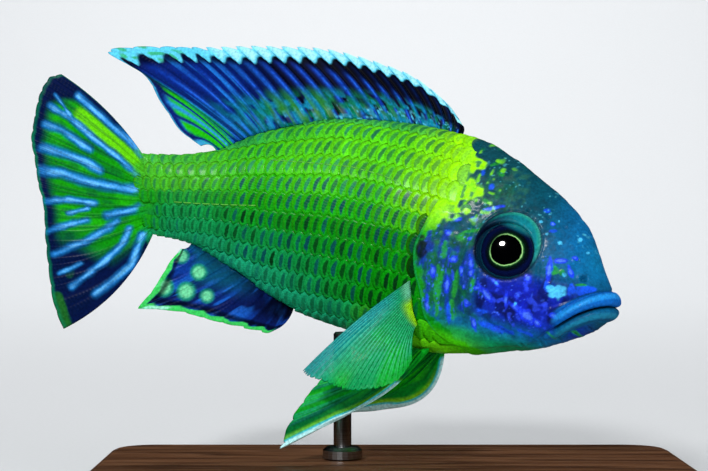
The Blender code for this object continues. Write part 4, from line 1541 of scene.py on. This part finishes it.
@dataclass(frozen=True)
class SenseLine:
    """Lateral line of one side: a row of short pored tubes on the scales, in two runs."""

    side: float
    front_run: Rows = ((43.4, 10.9), (47.1, 13.8), (52.1, 15), (60.3, 15.5), (71.4, 14.4), (80.9, 13.2))
    rear_run: Rows = ((80.5, 3.2), (86, 2.2), (93, 1), (101, -0.2))
    pitch: float = 2.1
    thick: float = 0.13

    def build(self, finish: Material) -> Object:
        """Lay the tubes along the flank.

        Args:
            finish: Material of the tubes.

        Returns:
            The tubes of one side.
        """
        shape = bmesh.new()
        turned = Matrix.Rotation(math.pi / 2, 4, "Y")
        places = []
        for run in (self.front_run, self.rear_run):
            u, w = np.array(run).T
            along = running(np.hypot(np.diff(u), np.diff(w)))
            for start in np.arange(0.0, along[-1] - self.pitch, self.pitch):
                ends = np.array((start, start + 0.8 * self.pitch))
                places.append((np.interp(ends, along, u), np.interp(ends, along, w)))
                apart = Matrix.Translation((APART * len(places), 0.0, 0.0))
                bmesh.ops.create_cone(shape, cap_ends=True, segments=6, radius1=self.thick,
                                      radius2=0.7 * self.thick, depth=1.0, matrix=apart @ turned)
        mesh = mesh_of(shape, sided("sense_line", self.side))
        flat = points_of(mesh)
        number = np.rint(flat[:, 0] / APART).astype(int) - 1
        share = flat[:, 0] - APART * (number + 1) + 0.5
        ends = np.array([np.concatenate(place) for place in places])[number]
        u = ends[:, 0] + (ends[:, 1] - ends[:, 0]) * share
        w = ends[:, 2] + (ends[:, 3] - ends[:, 2]) * share + flat[:, 1]
        v = FORM.side_width(u, w) + 0.06 + 0.7 * flat[:, 2]
        points = np.column_stack([u, self.side * v, w])
        keep(mesh, "fish", points)
        keep(mesh, "paint", linear("#64BC48") + 0.0 * points)
        set_points(mesh, POSE.place(points))
        return show(mesh, finish)


@dataclass(frozen=True)
class Eye:
    """One eye: a glossy ball that bulges a little over the iris."""

    side: float
    segments: int = 96
    rings: int = 64
    cornea: float = 0.35
    cornea_reach: float = 4.3
    pupil: tuple[float, float] = (-0.45, 0.1)
    iris_radius: float = 5.9

    def build(self, finish: Material) -> Object:
        """Make the eye in its socket.

        Args:
            finish: Material of the eye.

        Returns:
            The eye.
        """
        shape = bmesh.new()
        bmesh.ops.create_uvsphere(shape, u_segments=self.segments, v_segments=self.rings, radius=1.0)
        mesh = mesh_of(shape, sided("glass_eye", self.side))
        x, y, z = points_of(mesh).T
        cu, cv, cw = FORM.eye
        su, sv, sw = FORM.eye_semi_axes
        along, upward = su * x, sw * y
        reach = np.hypot(along, upward)
        outward = sv * z + self.cornea * np.exp(-((reach / self.cornea_reach) ** 4)) * (z > 0.0)
        outward += FORM.eye_slope[0] * along + FORM.eye_slope[1] * upward
        points = np.column_stack([cu + along, self.side * (cv + outward), cw + upward])
        right, up = -(along - self.pupil[0]), upward - self.pupil[1]
        turn = np.arctan2(up, right)
        egg = 1.0 + 0.07 * np.cos(turn - math.radians(15.0)) + 0.02 * np.cos(3.0 * turn)
        keep(mesh, "fish", points)
        keep(mesh, "pupil", np.hypot(right, up) / (self.iris_radius * egg))
        # painted light: the pupil ring is made lighter towards the upper front and below
        lit = np.maximum(np.cos(turn - math.radians(35.0)), np.cos(turn + math.radians(95.0)))
        keep(mesh, "glow", np.clip(0.25 + 0.9 * lit, 0.1, 1.0))
        keep(mesh, "veil", smooth(3.7, 6.4, upward + 0.22 * right))
        set_points(mesh, POSE.place(points))
        closed(mesh, 1e-7)
        return show(mesh, finish, (sided("eye", self.side),))


class FinKind(Enum):
    """Which fin a sheet is, which decides where it grows and how it is painted."""

    DORSAL = "dorsal"
    CAUDAL = "caudal"
    ANAL = "anal"
    PELVIC = "pelvic"
    PECTORAL = "pectoral"


class OnFin(NamedTuple):
    """Where points lie on a fin.

    Share across it from the front ray, way out from root to edge, distance from the snout,
    level, number of rays passed, and way out in millimetres of a typical ray.
    """

    p: Array
    t: Array
    u: Array
    w: Array
    across: Array
    length: Array


@dataclass(frozen=True)
class Fin:
    """One fin as a closed sheet with raised rays that fork, and flaps behind the spines."""

    node: str
    kind: FinKind
    slot: str
    rays: int
    tips: Rows
    bow: tuple[float, float]
    spines: int = 0
    side: float = 0.0
    root_half: float = 0.75
    ray_mm: float = 22.0
    web_half: float = 0.13
    ripple: float = 0.35
    root: Rows = ()
    columns: int = 16
    rows: int = 54
    step: float = 0.002
    # roots of the other fins: where they start in front and how far they run
    tail_root: tuple[float, float] = (8.0, -15.6)
    pelvic_root: Rows = ((35.4, 4.2), (4.4, -1.2))
    pectoral_root: Rows = ((40.6, -2.4), (-4.8, -8.4))
    # blue streaks of the tail fin: half width and points of the line
    streaks: tuple[tuple[float, Rows], ...] = (
        (0.69, ((108, 8.4), (112, 11.2), (117.5, 13.9), (124.7, 18))),
        (0.62, ((108.6, 4.3), (114, 7.2), (119.6, 9.9), (125.3, 13), (130, 14.4))),
        (0.75, ((119.6, 7.2), (121.7, 8), (126.3, 9.9), (130.2, 10.4))),
        (0.81, ((116.6, 3.3), (119.5, 4.4), (123.1, 5), (129.9, 5.3))),
        (0.88, ((107.6, 0.9), (114.4, 0.3), (119.9, 0.3), (123.8, 0.9), (129, 0.4))),
        (0.62, ((116, -3.9), (121.8, -4.4), (127.6, -6.2))),
        (0.44, ((117.2, -5.4), (121.2, -7.3))),
        (0.75, ((104.6, -1.9), (108.4, -3.9), (112.6, -5.9))),
        (0.62, ((116.8, -7.8), (120.9, -10), (124.9, -12.2))),
        (0.69, ((110.4, -6.6), (112.2, -8.8), (115.1, -11.6), (122, -16.6))),
        (0.62, ((107.3, -7.6), (108.2, -11.3), (110.9, -15.5), (114.2, -19.4), (116.8, -22.6))),
        (0.75, ((101.9, -7), (104.4, -8.4), (104.8, -11.8), (105.2, -15.1), (108.9, -20),
                (111.6, -23))),
        (0.38, ((115.9, -17.2), (118.1, -18.8), (120.2, -20.5))),
        (0.35, ((125.4, 13.6), (129.5, 17.1))),
    )
    # pale spots of the anal fin: centre, size and strength
    spots: Rows = ((95, -10.9, 1.5, 0.75), (90.6, -13.5, 1.6, 1), (97.3, -18.3, 1.9, 1),
                   (92.4, -18.1, 1.8, 1), (87.7, -18.1, 1.4, 0.85), (99.4, -14.4, 1.2, 0.6))

    def root_points(self, share: Array) -> Array:
        """Points where the fin leaves the body, sunk a little into the flesh.

        Args:
            share: Share across the fin from the front ray.

        Returns:
            One row of u, v and w for each share.
        """
        if self.kind is FinKind.CAUDAL:
            w = self.tail_root[0] + self.tail_root[1] * share
            return np.column_stack([FORM.tail_end + FORM.tail_slant * w + 0.4, 0.0 * w, w])
        if self.kind is FinKind.PELVIC:
            u, v = (start + run * share for start, run in self.pelvic_root)
            return np.column_stack([u, self.side * v, FORM.belly_level(u, v) - 0.3])
        if self.kind is FinKind.PECTORAL:
            u, w = (start + run * share for start, run in self.pectoral_root)
            return np.column_stack([u, self.side * (FORM.side_width(u, w) + 0.3), w])
        u = curve(self.root, share)
        sign, column = (1.0, 0) if self.kind is FinKind.DORSAL else (-1.0, 1)
        return np.column_stack([u, 0.0 * u, FORM.station(u)[column] - 0.5 * sign])

    def tip_points(self, share: Array) -> Array:
        """Points at the ends of the rays."""
        v = self.side * curve(self.tips, share, 3) if self.side else 0.0 * share
        return np.column_stack([curve(self.tips, share), v, curve(self.tips, share, 2)])

    def middle(self, share: Array, t: Array) -> Array:
        """Points of the middle surface at a share across the fin and a way out along it.

        Args:
            share: Share across the fin from the front ray.
            t: Way out from root to tip.

        Returns:
            One row of u, v and w for each place.
        """
        root, tip = self.root_points(share), self.tip_points(share)
        chord = tip - root
        flat = np.column_stack([-chord[:, 2], 0.0 * share, chord[:, 0]])
        flat /= np.linalg.norm(chord, axis=1)[:, None]
        bow = (self.bow[0] + (self.bow[1] - self.bow[0]) * share) * 4.0 * t * (1.0 - t)
        return root + chord * t[:, None] + flat * bow[:, None]

    def outline(self, share: Array) -> Array:
        """How far the web reaches towards the tips of the rays, from 0 to 1.

        Args:
            share: Share across the fin from the front ray.

        Returns:
            One reach for each share.
        """
        behind = np.mod(share * self.rays + 0.5, 1.0)
        spiny = smooth(self.spines + 0.6, self.spines - 0.4, share * self.rays)
        flap = 1.0 - 0.05 * (1.0 - smooth(-0.1, 0.65, behind) * smooth(1, 0.85, behind))
        fringe = 1.0 - 0.022 * (1.0 - hump(behind, 0.5, 0.5))
        fringe -= 0.012 * speckle(share * self.rays, share, 0.31, 5)
        if self.kind is FinKind.CAUDAL:
            fringe = 0.4 * fringe + 0.6
        return flap * spiny + fringe * (1.0 - spiny)

    def ridge(self, share: Array, t: Array) -> Array:
        """How much of a ray is under a point, from 0 on the web to 1 on a ray's crest.

        Args:
            share: Share across the fin from the front ray.
            t: Way out from root to edge.

        Returns:
            One height from 0 to 1 for each place.
        """
        off = np.mod(share * self.rays, 1.0) - 0.5
        spiny = share * self.rays < self.spines
        width = np.where(spiny, 0.15 - 0.07 * t, 0.13 - 0.06 * t)
        first, second = 0.17 * smooth(0.22, 0.8, t), 0.085 * smooth(0.55, 1, t)
        best = bell(off, width) * spiny
        for one in (-1.0, 1.0):
            for two in (-1.0, 1.0):
                place = one * first + two * second
                best = np.maximum(best, bell(off - place, width) * ~spiny)
        return best

    def front_edge(self) -> Array:
        """Line in the side view down the front ray and along the edge to the longest tip.

        Returns:
            One row of u and w for each of its points.
        """
        out = np.linspace(0.4 if self.side > 0.0 else 0.1, 1.0, 12)
        front = self.middle(np.zeros(12), out)
        edge = self.tip_points(np.linspace(0.02, 0.2, 8))
        return np.concatenate([front, edge])[:, ::2]

    def paint(self, share: Array, t: Array, points: Array) -> Array:
        """Colours of the fin.

        Args:
            share: Share across the fin from its front ray to its rear ray.
            t: Way out from root to edge.
            points: Straight positions.

        Returns:
            One linear colour for each point.
        """
        painters = {FinKind.DORSAL: self.dorsal, FinKind.CAUDAL: self.caudal, FinKind.ANAL: self.anal,
                    FinKind.PELVIC: self.pelvic, FinKind.PECTORAL: self.pectoral}
        u, w = points[:, 0], points[:, 2]
        return painters[self.kind](OnFin(share, t, u, w, share * self.rays, t * self.ray_mm))

    def dorsal(self, at: OnFin) -> Array:
        """Dark fin with a blue streak on every spine, green ovals behind and pale flaps.

        Args:
            at: Where the points lie on the fin.

        Returns:
            One linear colour for each point.
        """
        p, t, _, _, across, length = at
        behind = np.mod(across + 0.5, 1.0)
        rear = smooth(0.52, 0.7, p)
        streak = bell(behind - 0.22 - 0.1 * t, 0.23) * smooth(0.9, 0.62, t)
        core = bell(behind - 0.22 - 0.1 * t, 0.09) * smooth(0.78, 0.4, t)
        core *= smooth(0.15, 0.5, speckle(across * 5.0, length * 1.3, 1, 4))
        wide = rear * hump(behind, 0.35, 0.3)
        wide *= smooth(0.3, 0.7, speckle(np.floor(across), length / 7.0, 1, 7))
        low = smooth(0.46, 0.2, t) * smooth(0.02, 0.12, p) * smooth(0.9, 0.6, p)
        speck = smooth(0.74, 0.86, speckle(across * 5.0, length * 1.6, 1, 8)) * smooth(0.34, 0.05, t)
        oval = hump(behind, 0.5, 0.4) * smooth(0.45, 0.6, speckle(np.floor(across), length / 8.0, 1, 9))
        leaf = smooth(0.05, 0.2, behind) * smooth(0.98, 0.8, behind)
        band = 0.04 + 1.35 * p
        start = 0.88 - 0.125 * smooth(0, 0.85, behind) + 0.125 * smooth(0.87, 1, behind)
        start += 0.045 * smooth(0.56, 0.68, p) - 0.04 * smooth(0.36, 0.16, p)
        start -= 0.16 * smooth(0.17, 0.03, p)
        flap = smooth(start - 0.012, start + 0.014, t) * smooth(0.9, 0.84, p)
        pale = smooth(start + 0.012, start + 0.04, t) * hump(behind, 0.45, 0.46) * smooth(0.68, 0.6, p)
        slit = bell(behind - 0.97, 0.06) * smooth(0.97, 0.88, t)
        fleck = smooth(0.6, 0.74, speckle(across * 2.6, length * 1.2, 1, 19)) * smooth(0.66, 0.76, p)
        rim = smooth(0.984, 0.993, p) * smooth(0.1, 0.3, t)
        rim += smooth(0.955, 0.985, t) * smooth(0.86, 0.9, p)
        return painted(
            "#01041C",
            ("#042074", rear * (0.55 + 0.45 * speckle(across * 2.0, length * 0.3, 1, 3))),
            ("#0C38A8", (0.9 - 0.3 * rear) * streak),
            ("#2468E8", 0.85 * core),
            ("#1C78D8", 0.8 * wide * smooth(0.93, 0.8, t)),
            ("#067850", 0.85 * low * smooth(0.3, 0.65, speckle(across * 2.2, length * 0.5, 1, 5))),
            ("#0C88B0", 0.8 * low * smooth(0.5, 0.75, speckle(across * 3.1, length * 0.7, 1, 6))),
            ("#58C8F0", 0.8 * speck * (1.0 - rear)),
            ("#14A808", oval * smooth(0.82, 0.88, p) * smooth(0.8, 0.7, t) * smooth(0.03, 0.12, t)),
            ("#2A7A18", 0.8 * oval * smooth(0.42, 0.5, p) * smooth(0.74, 0.66, p) * smooth(0.5, 0.2, t)),
            ("#20B80C", leaf * smooth(0.885, 0.9, p) * smooth(0.975, 0.96, p) * smooth(0.88, 0.8, t)),
            ("#2A84E0", 0.9 * bell(p - 0.925, 0.006) * smooth(0.95, 0.8, t)),
            ("#01020A", 0.9 * smooth(band, band + 0.14, t) * smooth(0.62, 0.42, p)),
            ("#01020A", 0.85 * smooth(0.74, 0.84, t) * smooth(0.93, 0.87, p)),
            ("#58CCEC", flap),
            ("#A8F0F8", 0.9 * pale),
            ("#082C70", 0.8 * slit * smooth(0.66, 0.56, p) * flap),
            ("#2CA834", 0.75 * fleck * flap),
            ("#3CA8D8", 0.85 * np.clip(rim, 0.0, 1.0)),
        )

    def caudal(self, at: OnFin) -> Array:
        """Green fan with azure streaks, a thin dark margin and navy corners.

        Args:
            at: Where the points lie on the fin.

        Returns:
            One linear colour for each point.
        """
        p, t, u, w, across, length = at
        lime = near_line(u, w, ((123, 14.1), (115.9, 10.3), (106.9, 6)))
        tone = painted(
            "#0A8A0C",
            ("#1CAC08", 0.8 * smooth(0.35, 0.75, speckle(across * 0.9, length * 0.2, 1, 23))),
            ("#05602C", 0.6 * smooth(0.6, 0.85, speckle(across * 1.7, length * 0.3, 1, 24))),
            ("#64D00C", smooth(2.2, 0.8, lime)),
        )
        inner = smooth(0.94, 0.82, t + 0.25 * smooth(0.2, 0, p)) * smooth(0.04, 0.1, p)
        inner *= smooth(0.95, 0.82, p + 0.12 * smooth(0.4, 0.8, t))
        tone = painted("#031240", (tone, inner))
        ragged = 0.45 * (speckle(u, w, 1.5, 25) - 0.5)
        glow = (0.35 + 0.65 * smooth(0.2, 0.6, speckle(u, w, 3, 26))) * smooth(0.98, 0.8, t)
        for half, line in self.streaks:
            off = near_line(u, w, line) + ragged
            tone = painted(
                tone,
                ("#0A5898", 0.75 * smooth(1.9 * half, 0.9 * half, off)),
                ("#2488E0", smooth(1.2 * half, 0.3 * half, off) * (0.6 + 0.4 * glow)),
                ("#6CC4FC", 0.85 * smooth(0.75 * half, 0, off) * glow),
            )
        spots = smooth(0.62, 0.74, speckle(across * 0.8, length * 0.28, 1, 29)) * smooth(0.86, 0.95, p)
        edge = smooth(0.962, 0.985, t) + smooth(0.006, 0.002, p)
        tone = painted(
            tone,
            ("#011430", 0.35 * self.ridge(p, t) * smooth(0.1, 0.3, t)),
            ("#1C6A18", 0.8 * spots * smooth(0.15, 0.3, t)),
            ("#0C7850", 0.85 * np.clip(edge, 0.0, 1.0) * (0.4 + 0.6 * speckle(across, 0.0 * p, 1, 30))),
        )
        body = smooth(0.24, 0.12, t + 0.16 * speckle(u, w, 1, 31))
        return tone + (MARKINGS.flank(u, w) - tone) * body[:, None]

    def anal(self, at: OnFin) -> Array:
        """Navy fin with round pale spots and a mint edge broken into short lengths.

        Args:
            at: Where the points lie on the fin.

        Returns:
            One linear colour for each point.
        """
        p, t, u, w, across, length = at
        tone = painted(
            "#071A58",
            ("#0C3C9C", 0.85 * smooth(0.4, 0.75, speckle(across * 2.6, length * 0.22, 1, 33))),
            ("#1A64D0", 0.7 * smooth(0.62, 0.85, speckle(across * 3.4, length * 0.25, 1, 34))),
            ("#08607C", 0.75 * smooth(0.5, 0.1, t) * smooth(0.3, 0.6, p)),
            ("#01040C", 0.9 * smooth(0.42, 0.15, p) * smooth(0.75, 0.3, t)),
            ("#01040C", 0.5 * smooth(0.25, 0, t)),
        )
        for cu, cw, size, strength in self.spots:
            reach = np.hypot(u - cu, w - cw) / size
            tone = painted(
                tone,
                ("#1B8C74", strength * smooth(1.35, 0.95, reach)),
                ("#6FD8A0", strength * smooth(0.95, 0.6, reach)),
            )
        bead = np.abs(np.mod(across * 0.9, 1.0) - 0.5)
        edge = smooth(0.82 + 0.14 * bead, 0.86 + 0.14 * bead, t) * smooth(0.04, 0.1, p)
        core = edge * smooth(0.88, 0.93, t) * smooth(0.4, 0.6, speckle(across * 0.9, 0.0 * p, 1, 37))
        return painted(
            tone,
            ("#010510", 0.85 * hump(t, 0.8, 0.09)),
            ("#3CD060", edge),
            ("#9CF4D0", core),
        )

    def pelvic(self, at: OnFin) -> Array:
        """Green fin with a pale blue-white leading edge that runs on to the tip.

        Args:
            at: Where the points lie on the fin.

        Returns:
            One linear colour for each point.
        """
        p, t, u, w, across, length = at
        rim = near_line(u, w, self.front_edge())
        near = self.side > 0.0
        return painted(
            "#069C20",
            ("#045C30", 0.75 * smooth(0.45, 0.8, speckle(across * 4.0, length * 0.2, 1, 43))),
            ("#22BC0C", 0.8 * smooth(0.5, 0.8, speckle(across * 2.4, length * 0.2, 1, 44))),
            ("#2898A0", 0.35 * self.ridge(p, t) * smooth(0.3, 0.9, t)),
            # painted light: the far fin gets a weaker dark band and a stronger lime margin than the near
            # one, standing in for light it misses in its shade
            ("#045038", (0.7 if near else 0.3) * hump(rim, 2.4, 1.2)),
            ("#84D020", (0.5 if near else 0.95) * smooth(1.9, 1.1, rim) * smooth(0.1, 0.5, t)),
            ("#30C8D8", smooth(1, 0.7, rim)),
            ("#D0FFFF", 0.9 * smooth(0.7, 0.35, rim)),
        )

    def pectoral(self, at: OnFin) -> Array:
        """Sea-green see-through fan, bluer in front, with pale rays and a lime root.

        Args:
            at: Where the points lie on the fin.

        Returns:
            One linear colour for each point.
        """
        p, t = at.p, at.t
        return painted(
            "#06A058",
            ("#0CB41C", 0.8 * smooth(0.3, 0.75, speckle(p * 5.0, t * 3.0, 1, 53))
             * smooth(0.3, 0.5, t)),
            ("#0A94A0", smooth(0.42, 0.1, p) * smooth(0, 0.3, t)),
            ("#58C8A8", 0.75 * self.ridge(p, t) * smooth(0.04, 0.16, t) * smooth(1, 0.5, t)),
            ("#2C9A58", 0.4 * self.ridge(p, t) * smooth(0.5, 1, t)),
            ("#9CDC18", smooth(0.15, 0.05, t) * smooth(0.25, 0.5, p)),
            ("#70C8A0", smooth(0.1, 0.03, t) * smooth(0.5, 0.25, p)),
        )

    def build(self, finish: Material) -> Object:
        """Make the fin.

        Args:
            finish: Material of the fin.

        Returns:
            The fin.
        """
        across, wrap = self.rays * self.columns, 2 * self.rows
        shape = bmesh.new()
        bmesh.ops.create_grid(shape, x_segments=across, y_segments=wrap, size=0.5)
        mesh = mesh_of(shape, self.node + "_web")
        flat = points_of(mesh)
        share, turn = np.clip(flat[:, 0] + 0.5, 0.0, 1.0), flat[:, 1] + 0.5
        face = np.sign(np.rint((0.5 - turn) * wrap))
        t = 1.0 - np.abs(2.0 * turn - 1.0)
        t = np.sin(t * math.pi / 2.0) ** 0.9 * 0.35 + t * 0.65
        reach = t * (1.0 - (1.0 - self.outline(share)) * smooth(0.55, 1, t))
        (before, after), (inner, outer) = ((np.clip(at - self.step, 0.0, 1.0),
                                            np.clip(at + self.step, 0.0, 1.0)) for at in (share, reach))
        over = self.middle(after, reach) - self.middle(before, reach)
        out = self.middle(share, outer) - self.middle(share, inner)
        normal = np.cross(over, out)
        normal /= np.maximum(np.linalg.norm(normal, axis=1), 1e-9)[:, None]
        ray = self.ridge(share, t)
        crest = 0.2 - 0.12 * t if self.kind is FinKind.PECTORAL else 0.3 - 0.2 * t
        half = self.web_half - 0.06 * t + ray * crest
        half += (self.root_half - 0.3) * smooth(0.22, 0, t)
        half *= np.minimum(1.0, 26.0 * (1.0 - t) + 0.05) * smooth(0, 0.02, t)
        half *= smooth(0, 0.012, share) * smooth(1, 0.988, share)
        ripple = self.ripple * t**2 * np.sin(math.tau * (2.3 * share + 0.3 * t))
        middle = self.middle(share, reach)
        keep(mesh, "fish", middle)
        keep(mesh, "paint", self.paint(share, t, middle))
        keep(mesh, "ray", ray)
        chord = self.tip_points(share) - self.root_points(share)
        keep(mesh, "down", reach * np.linalg.norm(chord, axis=1))
        points = middle + normal * (ripple + half * face)[:, None]
        set_points(mesh, POSE.place(points))
        closed(mesh, 1e-7)
        return show(mesh, finish, (self.node,))


@dataclass(frozen=True)
class Fins:
    """All the fins, with the sizes that the solids share."""

    dorsal_roots: Rows = ((0, 40.4), (0.17, 47.2), (0.33, 56.5), (0.5, 70), (0.64, 80), (1, 92.6))
    dorsal_tips: Rows = (
        (0, 41.9, 29.4), (0.04, 45.4, 33), (0.17, 57.4, 38), (0.33, 72.4, 39.4), (0.5, 87.7, 37.2),
        (0.64, 99.6, 34.3), (0.76, 110.5, 32.2), (0.84, 120.9, 28.8), (0.89, 112, 25.6),
        (0.93, 107, 20.6), (0.97, 101, 15.2), (1, 96.2, 13.1),
    )
    caudal_tips: Rows = (
        (0, 129.4, 21.8), (0.06, 131.8, 20.4), (0.2, 133, 15.2), (0.34, 132.9, 7.8), (0.46, 131, 2.5),
        (0.56, 129, -2.4), (0.65, 126.9, -6.6), (0.77, 124.9, -13.7), (0.89, 122.2, -21.8),
        (0.97, 119.2, -28.6), (1, 116.6, -32),
    )
    anal_roots: Rows = ((0, 68.6), (0.3, 75), (1, 93.6))
    anal_tips: Rows = (
        (0, 70.6, -21.2), (0.1, 73.4, -23), (0.3, 82.5, -23.1), (0.5, 92, -22.8), (0.68, 102.2, -24.3),
        (0.8, 99.4, -18.9), (0.9, 97.2, -12.6), (1, 95.6, -9.4),
    )
    pelvic_right: Rows = (
        (0, 51.5, -36.4, 8.5), (0.2, 62.8, -45.1, 8), (0.4, 61.8, -39.6, 7.6), (0.6, 60.2, -34.6, 6.8),
        (0.8, 57.6, -29.6, 5.8), (1, 52.8, -24.8, 4.8),
    )
    pelvic_left: Rows = (
        (0, 46, -32.4, 8.4), (0.2, 59.5, -38, 7.6), (0.4, 58, -34, 7.2), (0.6, 55.8, -30.6, 6.6),
        (0.8, 52.8, -27.2, 5.8), (1, 48.6, -23.6, 4.8),
    )
    pectoral_right: Rows = (
        (0, 58.6, -27.6, 16), (0.14, 56.8, -28.6, 16.6), (0.3, 51.6, -28.9, 17.2),
        (0.5, 46.4, -29.2, 17.4), (0.7, 40.8, -27.8, 16.8), (0.86, 36.4, -24.8, 15.6),
        (1, 34.4, -20.4, 14),
    )
    pectoral_left: Rows = (
        (0, 61, -20.6, 15.6), (0.14, 59.4, -22.4, 16.4), (0.3, 54.6, -24.4, 17),
        (0.5, 49.2, -25.6, 17.2), (0.7, 43.6, -25.4, 16.6), (0.86, 39.6, -20.2, 15.4),
        (1, 37.4, -16.6, 13.8),
    )

    def build(self) -> list[Object]:
        """Make every fin.

        Returns:
            The seven fins.
        """
        webs = FinMembrane("painted_fin_web").make()
        clear = FinMembrane("clear_fin_web", see_through=0.3).make()
        fins = [
            (Fin("dorsal_fin", FinKind.DORSAL, "fin_blue", 27, self.dorsal_tips, (0.9, 0.9), spines=18,
                 root=self.dorsal_roots), webs),
            (Fin("tail_fin", FinKind.CAUDAL, "fin_green", 17, self.caudal_tips, (1.4, -2.6),
                 root_half=0.7, ray_mm=26.0, columns=20), webs),
            (Fin("anal_fin", FinKind.ANAL, "fin_blue", 11, self.anal_tips, (-0.5, -0.5), spines=3,
                 root=self.anal_roots, ray_mm=14.0, columns=20), webs),
        ]
        for name, side, tips, bow in (("right", 1.0, self.pelvic_right, 2.4),
                                      ("left", -1.0, self.pelvic_left, 4.2)):
            fins.append((Fin(f"pelvic_fin_{name}", FinKind.PELVIC, "fin_green", 6, tips, (-bow, 0.0),
                             spines=1, side=side, columns=24), webs))
        for name, side, tips in (("right", 1.0, self.pectoral_right), ("left", -1.0, self.pectoral_left)):
            fins.append((Fin(f"pectoral_fin_{name}", FinKind.PECTORAL, "fin_green", 22, tips, (0.6, 0.6),
                             side=side, root_half=0.6, columns=12), clear))
        return [fin.build(finish) for fin, finish in fins]


@dataclass(frozen=True)
class Stand:
    """Board and rod of the display stand: the solids themselves, with real finishes."""

    board: str = "stand_base"
    rod: str = "stand_rod"

    def dress(self) -> None:
        """Give the board and the rod their materials."""
        for node, finish, slot in ((self.board, OiledWalnut().make(), "stand_wood"),
                                   (self.rod, BrushedSteel().make(), "stand_steel")):
            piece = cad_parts[node]
            for place in piece.material_slots:
                place.material = finish
            LOG.info("%s dressed", node)


@dataclass(frozen=True)
class Studio:
    """Pale floor and wall in one sweep, soft lights, and the camera."""

    eye: tuple[float, float, float] = (-0.00805, -0.380, 0.05544)
    lens: float = 91.6
    sensor: float = 36.0
    nearest: float = 0.01
    width: float = 6.0
    front: float = -4.5
    length: float = 7.5
    strips: int = 90
    wall_at: float = 0.9
    bend: float = 0.6
    room_light: float = 0.34
    room_colour: str = "#F2F5F8"
    # each light: name, place, target, size, power and whether it shows in gloss
    lights: tuple[tuple, ...] = (
        ("key_light", (-0.35, -0.8, 0.6), (0.0, 0.0, 0.05), 0.15, 6.2, True),
        ("fill_light", (0.75, -0.7, 0.25), (0.0, 0.0, 0.05), 0.7, 4.2, False),
        ("wall_light", (0.0, 0.9, 1.2), (0.0, 1.3, 0.0), 1.2, 11.0, False),
    )

    def lay_floor(self) -> None:
        """Lay the floor and bend it up into the wall."""
        shape = bmesh.new()
        bmesh.ops.create_grid(shape, x_segments=1, y_segments=self.strips, size=0.5)
        mesh = mesh_of(shape, "floor")
        x, y, _ = points_of(mesh).T
        along = (y + 0.5) * self.length + self.front
        turn = np.clip((along - self.wall_at) / self.bend, 0.0, math.pi / 2)
        above = np.maximum(along - self.wall_at - self.bend * math.pi / 2, 0.0)
        depth = np.minimum(along, self.wall_at) + self.bend * np.sin(turn)
        level = self.bend * (1.0 - np.cos(turn)) + above
        set_points(mesh, np.column_stack([x * self.width, depth, level]))
        closed(mesh, 1e-7)
        mesh.materials.append(MattePaper().make())
        mesh.shade_smooth()
        floor = bpy.data.objects.new("floor", mesh)
        bpy.context.scene.collection.objects.link(floor)
        floor.visible_glossy = False

    def hang_lights(self) -> None:
        """Hang the lights and light the room evenly."""
        for name, place, target, size, power, glints in self.lights:
            lamp = bpy.data.lights.new(name, "AREA")
            lamp.shape, lamp.size, lamp.energy = "DISK", size, power
            made = bpy.data.objects.new(name, lamp)
            made.location = place
            made.visible_glossy = glints
            aim = np.array(target) - np.array(place)
            made.rotation_euler = (math.atan2(math.hypot(aim[0], aim[1]), -aim[2]), 0.0,
                                   math.atan2(aim[1], aim[0]) - math.pi / 2)
            bpy.context.scene.collection.objects.link(made)
        world = bpy.data.worlds.new("soft_room")
        world.use_nodes = True
        room = world.node_tree.nodes["Background"]
        room.inputs["Color"].default_value = (*linear(self.room_colour), 1.0)
        room.inputs["Strength"].default_value = self.room_light
        bpy.context.scene.world = world
        world.cycles_visibility.glossy = False

    def place_camera(self) -> None:
        """Put the camera level in front of the model, as the photo's was."""
        camera = bpy.data.cameras.new("camera")
        camera.lens, camera.sensor_width = self.lens, self.sensor
        camera.clip_start = self.nearest
        seen_from = bpy.data.objects.new("camera", camera)
        seen_from.location = self.eye
        seen_from.rotation_euler = (math.pi / 2, 0.0, 0.0)
        bpy.context.scene.collection.objects.link(seen_from)
        bpy.context.scene.camera = seen_from
        bpy.context.scene.view_settings.view_transform = "Standard"

    def build(self) -> None:
        """Set the stage, the lights and the camera."""
        self.lay_floor()
        self.hang_lights()
        self.place_camera()
        LOG.info("studio set")


def main() -> None:
    """Build every piece in order."""
    logging.basicConfig(level=logging.INFO, format="%(name)s: %(message)s")
    Skin().build()
    horn = ScaleHorn("shimmering_scales").make()
    tubes = WetSkin("pale_sense_tubes").make()
    glass = GlassEye().make()
    for side in (1.0, -1.0):
        ScaleCoat(side).build(horn)
        SenseLine(side).build(tubes)
        Eye(side).build(glass)
    Fins().build()
    Stand().dress()
    Studio().build()


if __name__ == "__main__":
    main()
